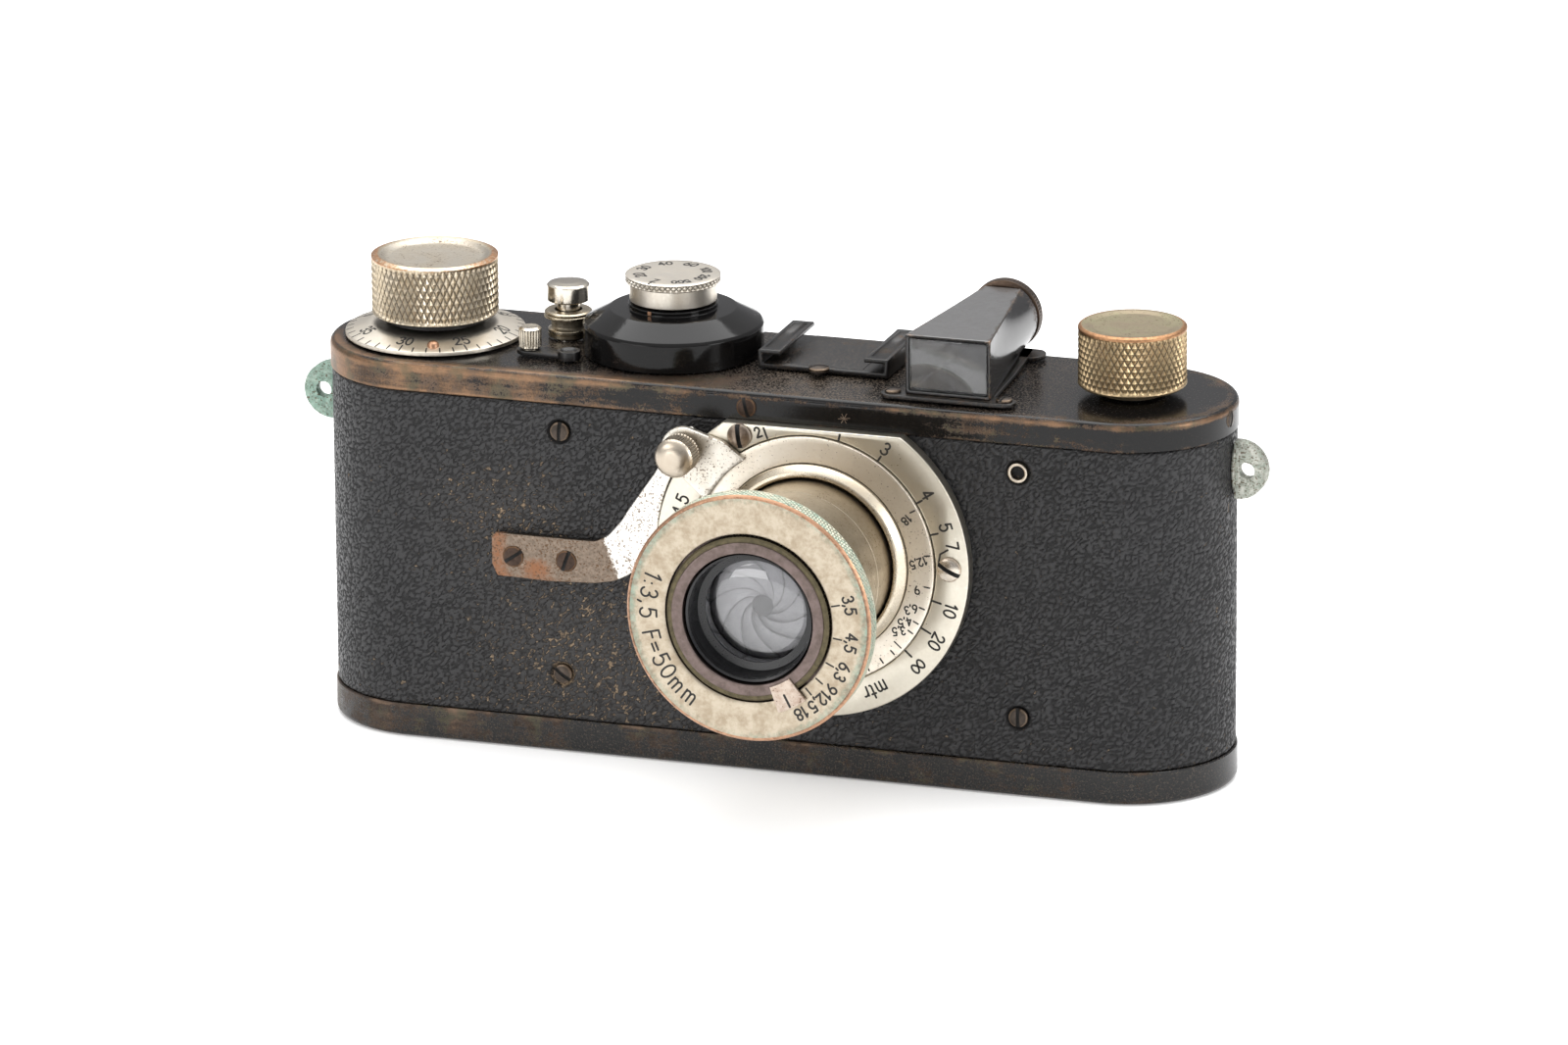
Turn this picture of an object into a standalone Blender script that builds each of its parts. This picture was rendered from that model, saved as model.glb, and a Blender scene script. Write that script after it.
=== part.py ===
"""Early 35 mm viewfinder camera with a collapsible lens, as an assembly of separate pieces.

World frame: metres, +Z up, the lens points along -Y, +X is on the right seen from the front.
The origin is the centre of the underside. Dimensions below are in millimetres.
"""

import math

import bmesh
import bpy
from mathutils import Matrix, Vector

MM = 0.001

# ---- driving dimensions (mm) ----
LENGTH = 133.0  # body, end to end
R_BODY = 15.16  # end radius of the bands, so the body is 30.3 deep
R_LEATHER_OUT = 14.95
R_LEATHER_IN = 14.2
R_SHELL_OUT = 13.9
R_SHELL_IN = 13.1
HALF = LENGTH / 2 - R_BODY  # half length of the straight flank
Z_BASE_BAND = 4.77
Z_TOP_BAND = 51.26
H = 55.42  # top face of the top plate
Z_TOP_UNDER = 54.42
Z_SHELL = (1.5, 54.1)
Z_LEATHER = (5.07, 50.96)

LENS_X, LENS_Z = 10.26, 32.68
R_FLANGE = 22.87
Y_FLANGE = -17.54
Y_FACE = -45.74  # front ring's face with the lens drawn out
R_TUBE = 12.1
COLLAPSE = 20.5

WIND = (-51.5, 0.0)
RELEASE = (-32.9, 4.0)
DRUM = (-16.4, 1.7)
REWIND = (51.6, 0.0)
REVERSE = (-28.8, -7.6)  # pivot of the reversing lever
REVERSE_POST = (-35.0, -6.4)
LOCK = (51.5, 0.0)
TRIPOD = (-53.5, 0.0)
LEVER_KNOB = (-8.1, 47.4)  # x, z
GEAR_WIND, GEAR_SPROCKET = 20, 15

BODY_SCREWS = ((-27.82, 47.19), (-27.82, 11.44), (39.49, 11.44))
EYELET = (39.49, 47.19)
FLANGE_SCREWS = (121.4, 1.2, 240.0)
R_FLANGE_SCREWS = 20.1
CATCH_SCREWS = ((-34.48, 28.65), (-26.58, 28.66))

# ---- scene ----
for old in list(bpy.data.objects):
    bpy.data.objects.remove(old, do_unlink=True)
scene = bpy.context.scene
PARTS = bpy.data.collections.new("viewfinder_camera")
CUTTERS = bpy.data.collections.new("cutters")
scene.collection.children.link(PARTS)
scene.collection.children.link(CUTTERS)
CUTTERS.hide_render = True

PALETTE = {
    "black_paint": ((0.022, 0.02, 0.019), 0.3, 0.0),
    "brassed_paint": ((0.05, 0.035, 0.026), 0.35, 0.1),
    "leather": ((0.02, 0.02, 0.021), 0.6, 0.0),
    "nickel": ((0.68, 0.63, 0.54), 0.3, 1.0),
    "worn_nickel": ((0.55, 0.49, 0.38), 0.38, 1.0),
    "brass": ((0.56, 0.42, 0.2), 0.38, 1.0),
    "dark_steel": ((0.1, 0.08, 0.07), 0.45, 1.0),
    "steel": ((0.45, 0.45, 0.45), 0.4, 1.0),
    "pitted_nickel": ((0.3, 0.4, 0.34), 0.55, 0.8),
    "black_metal": ((0.012, 0.012, 0.012), 0.45, 0.0),
    "glass": ((0.82, 0.86, 0.9), 0.05, 0.0),
    "cloth": ((0.02, 0.02, 0.02), 0.9, 0.0),
}


def paint(obj, colour):
    material = bpy.data.materials.new(obj.name)
    material.use_nodes = True
    shader = material.node_tree.nodes["Principled BSDF"]
    rgb, rough, metal = PALETTE[colour]
    shader.inputs["Base Color"].default_value = (*rgb, 1.0)
    shader.inputs["Roughness"].default_value = rough
    shader.inputs["Metallic"].default_value = metal
    material.diffuse_color = (*rgb, 1.0)
    obj.data.materials.clear()
    obj.data.materials.append(material)
    return obj


def add(name, mesh, where=PARTS, loc=(0, 0, 0), rot=(0, 0, 0)):
    obj = bpy.data.objects.new(name, mesh)
    obj.location = Vector(loc) * MM
    obj.rotation_euler = rot
    where.objects.link(obj)
    if where is CUTTERS:
        obj.hide_render = True
        obj.display_type = "WIRE"
    return obj


def front(x=LENS_X, z=LENS_Z):
    """Placement of a turned piece whose own +Z points out of the camera's front."""
    return {"loc": (x, 0, z), "rot": (math.radians(90), 0, 0)}


def turned(name, profile, steps, ring=False, where=PARTS, loc=(0, 0, 0), rot=(0, 0, 0)):
    """A turned piece. The profile, (radius, height) pairs, runs down its outer side, top to bottom."""
    mesh = bpy.data.meshes.new(name)
    points = [(r * MM, 0.0, z * MM) for r, z in profile]
    edges = [(i, i + 1) for i in range(len(points) - 1)]
    if ring:
        edges.append((len(points) - 1, 0))
    mesh.from_pydata(points, edges, [])
    obj = add(name, mesh, where, loc, rot)
    spin = obj.modifiers.new("turn", "SCREW")
    spin.steps = spin.render_steps = steps
    spin.use_merge_vertices = True
    spin.merge_threshold = 0.00001
    spin.use_smooth_shade = True
    return obj


def rod(name, r, z0, z1, steps, where=PARTS, loc=(0, 0, 0), rot=(0, 0, 0)):
    return turned(name, [(0, z1), (r, z1), (r, z0), (0, z0)], steps, False, where, loc, rot)


def tube(name, r_out, r_in, z0, z1, steps, where=PARTS, loc=(0, 0, 0), rot=(0, 0, 0)):
    return turned(
        name, [(r_out, z1), (r_out, z0), (r_in, z0), (r_in, z1)], steps, True, where, loc, rot
    )


def box(name, low, high, where=PARTS):
    mesh = bpy.data.meshes.new(name)
    bm = bmesh.new()
    bmesh.ops.create_cube(bm, size=1.0)
    size = [(b - a) * MM for a, b in zip(low, high)]
    mid = [(a + b) / 2 * MM for a, b in zip(low, high)]
    bmesh.ops.scale(bm, vec=size, verts=bm.verts)
    bmesh.ops.translate(bm, vec=mid, verts=bm.verts)
    bm.to_mesh(mesh)
    bm.free()
    return add(name, mesh, where)


def stadium(name, radius, z0, z1, where=PARTS, segments=28, round_top=0.0, round_bottom=0.0):
    """A block with round ends: a cylinder whose two halves are drawn apart. The flats stay at the radius."""
    mesh = bpy.data.meshes.new(name)
    bm = bmesh.new()
    half_step = math.pi / segments
    bmesh.ops.create_cone(
        bm,
        cap_ends=True,
        segments=segments,
        radius1=radius * MM / math.cos(half_step),
        radius2=radius * MM / math.cos(half_step),
        depth=(z1 - z0) * MM,
        matrix=Matrix.Translation((0, 0, (z0 + z1) / 2 * MM)) @ Matrix.Rotation(half_step, 4, "Z"),
    )
    for vert in bm.verts:
        vert.co.x += math.copysign(HALF * MM, vert.co.x)
    for amount, height in ((round_top, z1), (round_bottom, z0)):
        if amount:
            rim = [e for e in bm.edges if all(abs(v.co.z - height * MM) < 1e-6 for v in e.verts)]
            bmesh.ops.bevel(bm, geom=rim, offset=amount * MM, segments=1, profile=0.5, affect="EDGES")
    bmesh.ops.recalc_face_normals(bm, faces=bm.faces)
    bm.to_mesh(mesh)
    bm.free()
    return add(name, mesh, where)


def outline(name, rings, thickness, where=PARTS, loc=(0, 0, 0), rot=(0, 0, 0)):
    """A flat plate from one closed outline, or an outline and its holes, thickness along its own Z from 0."""
    curve = bpy.data.curves.new(name, "CURVE")
    curve.dimensions = "2D"
    curve.fill_mode = "BOTH"
    curve.extrude = thickness * MM / 2
    for ring in rings:
        spline = curve.splines.new("POLY")
        spline.points.add(len(ring) - 1)
        for point, (x, y) in zip(spline.points, ring):
            point.co = (x * MM, y * MM, 0, 1)
        spline.use_cyclic_u = True
    guide = bpy.data.objects.new(name + "_curve", curve)
    CUTTERS.objects.link(guide)
    bpy.context.view_layer.update()
    graph = bpy.context.evaluated_depsgraph_get()
    mesh = bpy.data.meshes.new_from_object(guide.evaluated_get(graph))
    bpy.data.objects.remove(guide, do_unlink=True)
    bm = bmesh.new()
    bm.from_mesh(mesh)
    bmesh.ops.remove_doubles(bm, verts=bm.verts, dist=1e-6)
    bmesh.ops.translate(bm, vec=(0, 0, thickness * MM / 2), verts=bm.verts)
    bmesh.ops.recalc_face_normals(bm, faces=bm.faces)
    bm.to_mesh(mesh)
    bm.free()
    mesh.name = name
    return add(name, mesh, where, loc, rot)


def boolean(obj, operation, *others):
    for other in others:
        step = obj.modifiers.new(operation.lower() + "_" + other.name, "BOOLEAN")
        step.operation = operation
        step.object = other
        if other.name not in CUTTERS.objects:
            raise ValueError(other.name)
    return obj


def cut(obj, *others):
    return boolean(obj, "DIFFERENCE", *others)


def join(obj, *others):
    return boolean(obj, "UNION", *others)


def arc(cx, cy, r, a0, a1, n):
    return [
        (
            cx + r * math.cos(math.radians(a0 + (a1 - a0) * i / n)),
            cy + r * math.sin(math.radians(a0 + (a1 - a0) * i / n)),
        )
        for i in range(n + 1)
    ]


def many_rods(name, places, r, z0, z1, steps, rot=(0, 0, 0)):
    """One cutter made of several parallel cylinders, each at its own place."""
    mesh = bpy.data.meshes.new(name)
    bm = bmesh.new()
    turn = Matrix.Rotation(rot[0], 4, "X")
    for place in places:
        bmesh.ops.create_cone(
            bm,
            cap_ends=True,
            segments=steps,
            radius1=r * MM,
            radius2=r * MM,
            depth=(z1 - z0) * MM,
            matrix=Matrix.Translation(Vector(place) * MM)
            @ turn
            @ Matrix.Translation((0, 0, (z0 + z1) / 2 * MM)),
        )
    bm.to_mesh(mesh)
    bm.free()
    return add(name, mesh, CUTTERS)


FRONTWARD = (math.radians(90), 0, 0)

# ---- body shell, covering and plates ----
stadium("shell_hollow", R_SHELL_IN, 0, 60, CUTTERS)
rod("shell_lens_hole", 17.3, 8, 20, 28, CUTTERS, **front())
many_rods("shell_screw_holes", [(x, 0, z) for x, z in BODY_SCREWS + (EYELET,)], 0.95, 10, 18, 10, FRONTWARD)
rod("shell_lug_a", 1.1, -72, 72, 10, CUTTERS, loc=(0, 0, 45.9), rot=(0, math.radians(90), 0))
body_shell = cut(
    stadium("body_shell", R_SHELL_OUT, *Z_SHELL),
    bpy.data.objects["shell_hollow"],
    bpy.data.objects["shell_lens_hole"],
    bpy.data.objects["shell_screw_holes"],
    bpy.data.objects["shell_lug_a"],
)
paint(body_shell, "brass")

stadium("leather_hollow", R_LEATHER_IN, 0, 60, CUTTERS)
many_rods("leather_screw_holes", [(x, 0, z) for x, z in BODY_SCREWS + (EYELET,)], 1.68, 10, 18, 10, FRONTWARD)
leather = cut(
    stadium("leather_cover", R_LEATHER_OUT, *Z_LEATHER),
    bpy.data.objects["leather_hollow"],
    bpy.data.objects["shell_lens_hole"],
    bpy.data.objects["leather_screw_holes"],
    bpy.data.objects["shell_lug_a"],
)
paint(leather, "leather")

stadium("top_hollow", R_LEATHER_IN, 40, Z_TOP_UNDER, CUTTERS)
many_rods("top_shaft_holes", [(*WIND, 0), (*REWIND, 0)], 2.8, 50, 60, 14)
many_rods("top_dial_holes", [(*RELEASE, 0), (*DRUM, 0)], 2.4, 50, 60, 14)
many_rods("top_lever_hole", [(*REVERSE, 0)], 1.0, 50, 60, 8)
many_rods("top_front_screw_hole", [(0, 0, 53.3)], 0.8, 12, 18, 10, FRONTWARD)
top_plate = cut(
    stadium("top_plate", R_BODY, Z_TOP_BAND, H, round_top=0.8),
    bpy.data.objects["top_hollow"],
    bpy.data.objects["top_shaft_holes"],
    bpy.data.objects["top_dial_holes"],
    bpy.data.objects["top_lever_hole"],
    bpy.data.objects["top_front_screw_hole"],
)
paint(top_plate, "black_paint")

stadium("base_hollow", R_LEATHER_IN, 1.2, 14, CUTTERS)
rod("base_lock_hole", 8.25, -2, 8, 24, CUTTERS, loc=(*LOCK, 0))
rod("base_tripod_seat", 6.9, -2, 8, 20, CUTTERS, loc=(*TRIPOD, 0))
base_plate = cut(
    stadium("base_plate", R_BODY, 0, Z_BASE_BAND, round_bottom=0.8),
    bpy.data.objects["base_hollow"],
    bpy.data.objects["base_lock_hole"],
    bpy.data.objects["base_tripod_seat"],
)
paint(base_plate, "brassed_paint")
paint(
    turned(
        "tripod_bush",
        [(0, 5.6), (6.6, 5.6), (6.6, 0.05), (4.76, 0.05), (4.76, 5.0), (0, 5.0)],
        20,
        loc=(*TRIPOD, 0),
    ),
    "nickel",
)

# Base lock: a round key with its cam inside the base, and a bail that folds into its face.
BAIL_Z = 0.45
tube("key_groove", 7.0, 5.0, -1, 1.0, 20, CUTTERS, loc=(*LOCK, 0))
box("key_groove_half", (LOCK[0] - 9, 0.9, -2), (LOCK[0] + 9, 12, 3), CUTTERS)
cut(bpy.data.objects["key_groove"], bpy.data.objects["key_groove_half"])
key = cut(
    turned("base_lock_key", [(0, 2.4), (9.2, 2.4), (9.2, 1.55), (7.9, 1.55), (7.9, 0.05), (0, 0.05)], 24, loc=(*LOCK, 0)),
    bpy.data.objects["key_groove"],
)
paint(key, "nickel")
bail = arc(0, 0, 6.65, 180, 360, 14) + arc(0, 0, 5.35, 360, 180, 14)
paint(outline("base_lock_bail", [bail], 0.7, loc=(*LOCK, BAIL_Z - 0.35)), "nickel")

# ---- fasteners on the front ----
def screw(name, head_r, head_z, seat_z, stem_r, end_z, colour, **place):
    """A round-headed screw along its own Z: crown, head down to its seat, then the stem."""
    crown = head_z - 0.25 * (head_z - seat_z)
    piece = turned(
        name,
        [(0, head_z), (head_r * 0.6, head_z), (head_r, crown), (head_r, seat_z), (stem_r, seat_z), (stem_r, end_z), (0, end_z)],
        8,
        **place,
    )
    return paint(piece, colour)


for label, (x, z) in zip(("upper_left", "lower_left", "lower_right"), BODY_SCREWS):
    screw("body_screw_" + label, 1.38, 15.2, 14.2, 0.65, 11.6, "dark_steel", **front(x, z))
paint(tube("test_bush", 1.42, 0.85, 14.2, 15.25, 10, **front(*EYELET)), "nickel")
screw("top_screw_front", 1.45, 15.9, 15.46, 0.5, 14.5, "dark_steel", **front(0, 53.3))

# ---- lens flange and infinity catch ----
box("flange_flat", (LENS_X - 30, -30, 51.53), (LENS_X + 30, 0, 70), CUTTERS)
rod("flange_pin_notch", 0.8, 14, 20, 8, CUTTERS, **front(*LEVER_KNOB))
polar = [
    (
        LENS_X + R_FLANGE_SCREWS * math.cos(math.radians(a)),
        0,
        LENS_Z + R_FLANGE_SCREWS * math.sin(math.radians(a)),
    )
    for a in FLANGE_SCREWS
]
many_rods("flange_screw_holes", polar, 1.0, 14, 20, 10, FRONTWARD)
flange = cut(
    turned(
        "lens_flange",
        [
            (R_FLANGE, -Y_FLANGE), (R_FLANGE, 15.3), (17.0, 15.3), (17.0, 12.3),
            (16.2, 12.3), (16.2, 16.1), (18.1, 16.1), (18.1, -Y_FLANGE),
        ],
        36,
        ring=True,
        **front(),
    ),
    bpy.data.objects["flange_flat"],
    bpy.data.objects["flange_pin_notch"],
    bpy.data.objects["flange_screw_holes"],
)
paint(flange, "nickel")
for label, (x, _, z) in zip(("top", "right", "bottom"), polar):
    screw("flange_screw_" + label, 1.75, 18.4, -Y_FLANGE + 0.25, 0.7, 15.4, "dark_steel", **front(x, z))

catch_outline = (
    [(-37.2, 31.9), (-37.73, 31.2), (-37.73, 27.74), (-36.7, 25.7), (-28.68, 25.42), (-22.32, 25.74), (-19.44, 26.3), (-17.0, 27.6), (-14.6, 30.4)]
    + arc(LENS_X, LENS_Z, 23.25, 181.0, 137.0, 9)
    + [(-7.6, 50.2), (-10.2, 49.2), (-13.13, 43.12), (-17.28, 37.1), (-18.32, 35.39), (-20.38, 32.97), (-22.25, 31.95)]
)
many_rods("catch_holes", [(x, 0, z) for x, z in CATCH_SCREWS], 0.95, 14, 18, 10, FRONTWARD)
catch = cut(
    outline("infinity_catch", [catch_outline], 0.85, loc=(0, -15.35, 0), rot=FRONTWARD),
    bpy.data.objects["catch_holes"],
    bpy.data.objects["flange_pin_notch"],
)
paint(catch, "worn_nickel")
for label, (x, z) in zip(("outer", "inner"), CATCH_SCREWS):
    screw("catch_screw_" + label, 1.55, 16.75, 16.45, 0.65, 15.4, "dark_steel", **front(x, z))

# ---- focusing mount ----
paint(tube("helicoid_sleeve", 15.9, 14.6, 11.5, 15.9, 28, **front()), "brass")

knob_angle = math.degrees(math.atan2(LEVER_KNOB[1] - LENS_Z, LEVER_KNOB[0] - LENS_X))
kx, ky = LEVER_KNOB[0] - LENS_X, LEVER_KNOB[1] - LENS_Z
lobe = (
    arc(0, 0, 16.9, knob_angle + 12, knob_angle - 17, 6)
    + [(-10.2, 14.6), (-12.5, 16.35)]
    + arc(kx, ky, 3.3, 78, 212, 8)
)
outline("lever_lobe", [lobe], 1.1, CUTTERS, loc=(LENS_X, -17.85, LENS_Z), rot=FRONTWARD)
rod("lever_hole", 0.85, 14, 22, 8, CUTTERS, **front(*LEVER_KNOB))
focus_ring = cut(
    join(tube("focus_ring", 17.78, 14.45, 16.4, 18.03, 32, **front()), bpy.data.objects["lever_lobe"]),
    bpy.data.objects["lever_hole"],
)
paint(focus_ring, "nickel")
paint(
    turned(
        "mount_collar",
        [(13.4, 19.6), (14.1, 18.9), (14.1, 12.6), (12.45, 12.6), (12.45, 19.3), (12.75, 19.6)],
        28,
        ring=True,
        **front(),
    ),
    "nickel",
)
paint(
    turned(
        "infinity_knob",
        [(0, 24.1), (1.6, 24.0), (2.75, 23.6), (2.8, 23.4), (2.8, 19.85), (0.5, 19.85), (0.5, 16.55), (0, 16.55)],
        14,
        **front(*LEVER_KNOB),
    ),
    "nickel",
)

# ---- lens ----
paint(tube("lens_tube", R_TUBE, 11.3, 11.5, 42.3, 28, **front()), "nickel")
paint(
    turned(
        "front_ring",
        [
            (17.4, -Y_FACE), (17.65, -Y_FACE - 0.25), (17.65, 43.1), (17.2, 42.6), (9.4, 42.6), (9.4, 44.3),
            (12.04, 44.3), (12.04, -Y_FACE),
        ],
        32,
        ring=True,
        **front(),
    ),
    "worn_nickel",
)
tab = arc(0, 0, 9.9, -52.0, -70.0, 3) + arc(0, 0, 13.7, -70.0, -52.0, 3)
outline("tab_plate", [tab], 0.4, CUTTERS, loc=(LENS_X, Y_FACE - 0.3, LENS_Z), rot=FRONTWARD)
paint(
    join(tube("aperture_ring", 11.0, 9.4, 44.6, 46.2, 28, **front()), bpy.data.objects["tab_plate"]),
    "dark_steel",
)
paint(
    turned(
        "lens_cell",
        [
            (9.1, 45.6), (9.1, 30.5), (7.2, 30.5), (7.2, 31.2), (7.9, 31.2), (7.9, 42.0), (7.35, 42.0), (7.35, 42.35), (8.8, 45.6),
        ],
        24,
        ring=True,
        **front(),
    ),
    "black_metal",
)
paint(
    turned("front_element", [(0, 42.75), (3.2, 42.6), (5.6, 42.3), (7.0, 41.9), (7.6, 41.5), (7.6, 39.8), (0, 39.8)], 20, **front()),
    "glass",
)
paint(tube("iris_diaphragm", 7.6, 1.1, 39.1, 39.35, 20, **front()), "dark_steel")
paint(rod("middle_element", 7.0, 36.4, 38.2, 14, **front()), "glass")
paint(rod("rear_doublet", 6.9, 31.6, 35.2, 14, **front()), "glass")

# ---- inside: film transport and shutter ----
box("crate_window", (LENS_X - 18, 5, LENS_Z - 12), (LENS_X + 18, 20, LENS_Z + 12), CUTTERS)
box("crate_wall", (-10, 10.5, 12.5), (31, 11.3, 51), CUTTERS)
box("crate_floor", (-25.5, -11.5, 12.0), (38, 11.3, 13.2), CUTTERS)
many_rods("crate_bearings", [(*RELEASE, 0), (*DRUM, 0)], 2.3, 0, 60, 10)
crate = cut(
    join(
        box("shutter_crate", (-39.5, -11.5, 50.2), (38, 12.5, 51.4)),
        bpy.data.objects["crate_wall"],
        bpy.data.objects["crate_floor"],
    ),
    bpy.data.objects["crate_window"],
    bpy.data.objects["crate_bearings"],
)
paint(crate, "steel")
paint(box("shutter_curtain", (-14, 9.8, 17), (34, 10.1, 48.5)), "cloth")
paint(box("pressure_plate", (-9, 11.95, 18), (30, 12.65, 47.5)), "black_metal")
paint(rod("curtain_roller", 3.3, 13.6, 49.8, 12, loc=(33.5, 6.0, 0)), "brass")


def gear(name, teeth, pitch_r, z0, z1, phase, loc):
    """Trapezoid teeth with backlash, standing round the pitch circle."""
    points = []
    step = 360.0 / teeth
    for k in range(teeth):
        at = phase + k * step
        for share, r in ((-0.34, -0.72), (-0.13, 0.5), (0.13, 0.5), (0.34, -0.72)):
            a = math.radians(at + share * step)
            points.append(((pitch_r + r) * math.cos(a), (pitch_r + r) * math.sin(a)))
    return outline(name, [points], z1 - z0, loc=(*loc, z0))


centre_gap = math.hypot(RELEASE[0] - WIND[0], RELEASE[1] - WIND[1])
towards = math.degrees(math.atan2(RELEASE[1] - WIND[1], RELEASE[0] - WIND[0]))
module = 2 * centre_gap / (GEAR_WIND + GEAR_SPROCKET)
wind_gear = gear("wind_gear", GEAR_WIND, module * GEAR_WIND / 2, 52.0, 53.7, towards, WIND)
rod("wind_gear_bore", 2.8, 40, 60, 12, CUTTERS, loc=(*WIND, 0))
cut(wind_gear, bpy.data.objects["wind_gear_bore"])
paint(wind_gear, "brass")
sprocket_gear = gear(
    "sprocket_gear", GEAR_SPROCKET, module * GEAR_SPROCKET / 2, 52.0, 53.7, towards + 180 + 180.0 / GEAR_SPROCKET, RELEASE
)
rod("sprocket_gear_bore", 2.3, 40, 60, 12, CUTTERS, loc=(*RELEASE, 0))
cut(sprocket_gear, bpy.data.objects["sprocket_gear_bore"])
paint(sprocket_gear, "brass")

paint(
    turned(
        "film_sprocket",
        [
            (0, 53.6), (2.0, 53.6), (2.0, 49.2), (6.05, 49.2), (6.05, 44.2), (4.2, 43.2),
            (4.2, 22.0), (6.05, 21.0), (6.05, 16.0), (0, 16.0),
        ],
        14,
        loc=(*RELEASE, 0),
    ),
    "steel",
)
teeth = [
    (math.cos(math.radians(a)), math.sin(math.radians(a))) for a in range(7, 360, 45)
]


def tooth_row(name, z):
    mesh = bpy.data.meshes.new(name)
    bm = bmesh.new()
    for cx, cy in teeth:
        bmesh.ops.create_cone(
            bm, cap_ends=True, segments=4, radius1=0.85 * MM, radius2=0.35 * MM, depth=2.4 * MM,
            matrix=Matrix.Translation(Vector((RELEASE[0] + 6.0 * cx, RELEASE[1] + 6.0 * cy, z)) * MM)
            @ Vector((cx, cy, 0)).to_track_quat("Z", "Y").to_matrix().to_4x4(),
        )
    bm.to_mesh(mesh)
    bm.free()
    return add(name, mesh, CUTTERS)


join(bpy.data.objects["film_sprocket"], tooth_row("teeth_upper", 46.6), tooth_row("teeth_lower", 18.4))

paint(rod("wind_shaft", 2.5, 46.0, 61.5, 12, loc=(*WIND, 0)), "steel")
paint(
    turned(
        "take_up_spool",
        [
            (0, 45.4), (11.8, 45.4), (11.8, 44.4), (5.4, 43.9), (5.4, 8.4), (11.8, 7.9), (11.8, 6.9), (0, 6.9),
        ],
        20,
        loc=(*WIND, 0),
    ),
    "brass",
)
paint(
    turned(
        "wind_knob",
        [
            (0, H + 11.6), (7.4, H + 11.7), (8.5, H + 12.0), (9.03, H + 11.5), (9.03, H + 4.1), (8.6, H + 3.65),
            (7.6, H + 3.65), (7.6, H + 2.35), (2.8, H + 2.35), (2.8, H + 6.5), (0, H + 6.5),
        ],
        28,
        loc=(*WIND, 0),
    ),
    "worn_nickel",
)
many_rods("counter_pin", [(WIND[0] + 11.0 * math.sin(math.radians(18.0)), WIND[1] - 11.0 * math.cos(math.radians(18.0)), H)], 0.85, 0.9, 2.1, 10)
paint(
    join(
        turned(
            "counter_dial",
            [(3.1, H + 2.0), (9.2, H + 2.0), (12.82, H + 0.85), (12.82, H + 0.35), (3.1, H + 0.35)],
            28,
            ring=True,
            loc=(*WIND, 0),
        ),
        bpy.data.objects["counter_pin"],
    ),
    "nickel",
)

# ---- release and reversing lever ----
paint(
    turned(
        "release_collar",
        [
            (3.5, H + 4.1), (3.5, H + 3.1), (2.4, H + 2.9), (2.4, H + 1.5), (2.92, H + 1.3), (2.92, H + 0.3),
            (1.98, H + 0.3), (1.98, H + 4.1),
        ],
        16,
        ring=True,
        loc=(*RELEASE, 0),
    ),
    "nickel",
)
paint(
    turned(
        "release_button",
        [
            (0, H + 8.25), (1.7, H + 8.15), (2.7, H + 7.9), (3.06, H + 7.5), (3.06, H + 5.45), (1.66, H + 5.45),
            (1.66, H - 0.1), (0, H - 0.1),
        ],
        16,
        loc=(*RELEASE, 0),
    ),
    "nickel",
)
arm_x, arm_y = REVERSE_POST[0] - REVERSE[0], REVERSE_POST[1] - REVERSE[1]
arm_turn = math.degrees(math.atan2(arm_y, arm_x))
paint(
    join(
        turned(
            "reversing_lever",
            [
                (0, H + 1.45), (1.2, H + 1.45), (1.3, H + 1.65), (1.65, H + 1.6), (1.65, H + 0.35),
                (0.7, H + 0.35), (0.7, 54.7), (0, 54.7),
            ],
            14,
            loc=(*REVERSE, 0),
        ),
        outline(
            "reversing_arm",
            [
                arc(arm_x, arm_y, 1.9, arm_turn - 90, arm_turn + 90, 6)
                + arc(0, 0, 1.1, arm_turn + 90, arm_turn + 270, 6)
            ],
            0.6,
            CUTTERS,
            loc=(*REVERSE, H + 0.4),
        ),
        turned(
            "reversing_post",
            [(0, H + 4.3), (1.3, H + 4.25), (1.6, H + 4.0), (1.6, H + 1.2), (1.2, H + 1.1), (1.2, H + 0.7), (0, H + 0.7)],
            14,
            where=CUTTERS,
            loc=(*REVERSE_POST, 0),
        ),
    ),
    "nickel",
)

# ---- shutter dial ----
paint(
    turned(
        "shutter_dial_base",
        [
            (6.35, H + 7.3), (6.35, H + 6.55), (8.98, H + 6.5), (12.5, H + 4.6), (12.81, H + 4.3), (12.81, H + 0.3), (2.3, H + 0.3), (2.3, H + 7.3),
        ],
        28,
        ring=True,
        loc=(*DRUM, 0),
    ),
    "black_paint",
)
paint(
    turned(
        "speed_dial",
        [
            (0, H + 11.4), (6.5, H + 11.4), (6.75, H + 11.2), (6.75, H + 10.35), (6.17, H + 10.2), (6.17, H + 7.6),
            (2.3, H + 7.6), (2.3, H + 10.3), (0, H + 10.3),
        ],
        24,
        loc=(*DRUM, 0),
    ),
    "nickel",
)
paint(
    turned(
        "shutter_drum",
        [(0, H + 9.9), (1.98, H + 9.9), (1.98, 49.8), (7.8, 49.8), (7.8, 13.6), (1.98, 13.6), (1.98, 8.5), (0, 8.5)],
        20,
        loc=(*DRUM, 0),
    ),
    "steel",
)

# ---- accessory shoe ----
shoe_profile = [
    (-2.0, 0.3), (-2.0, 3.0), (1.35, 3.0), (1.35, 2.35), (-1.25, 2.35), (-1.25, 1.0),
    (16.55, 1.0), (16.55, 2.35), (13.6, 2.35), (13.6, 3.0), (17.2, 3.0), (17.2, 0.3),
]
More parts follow.
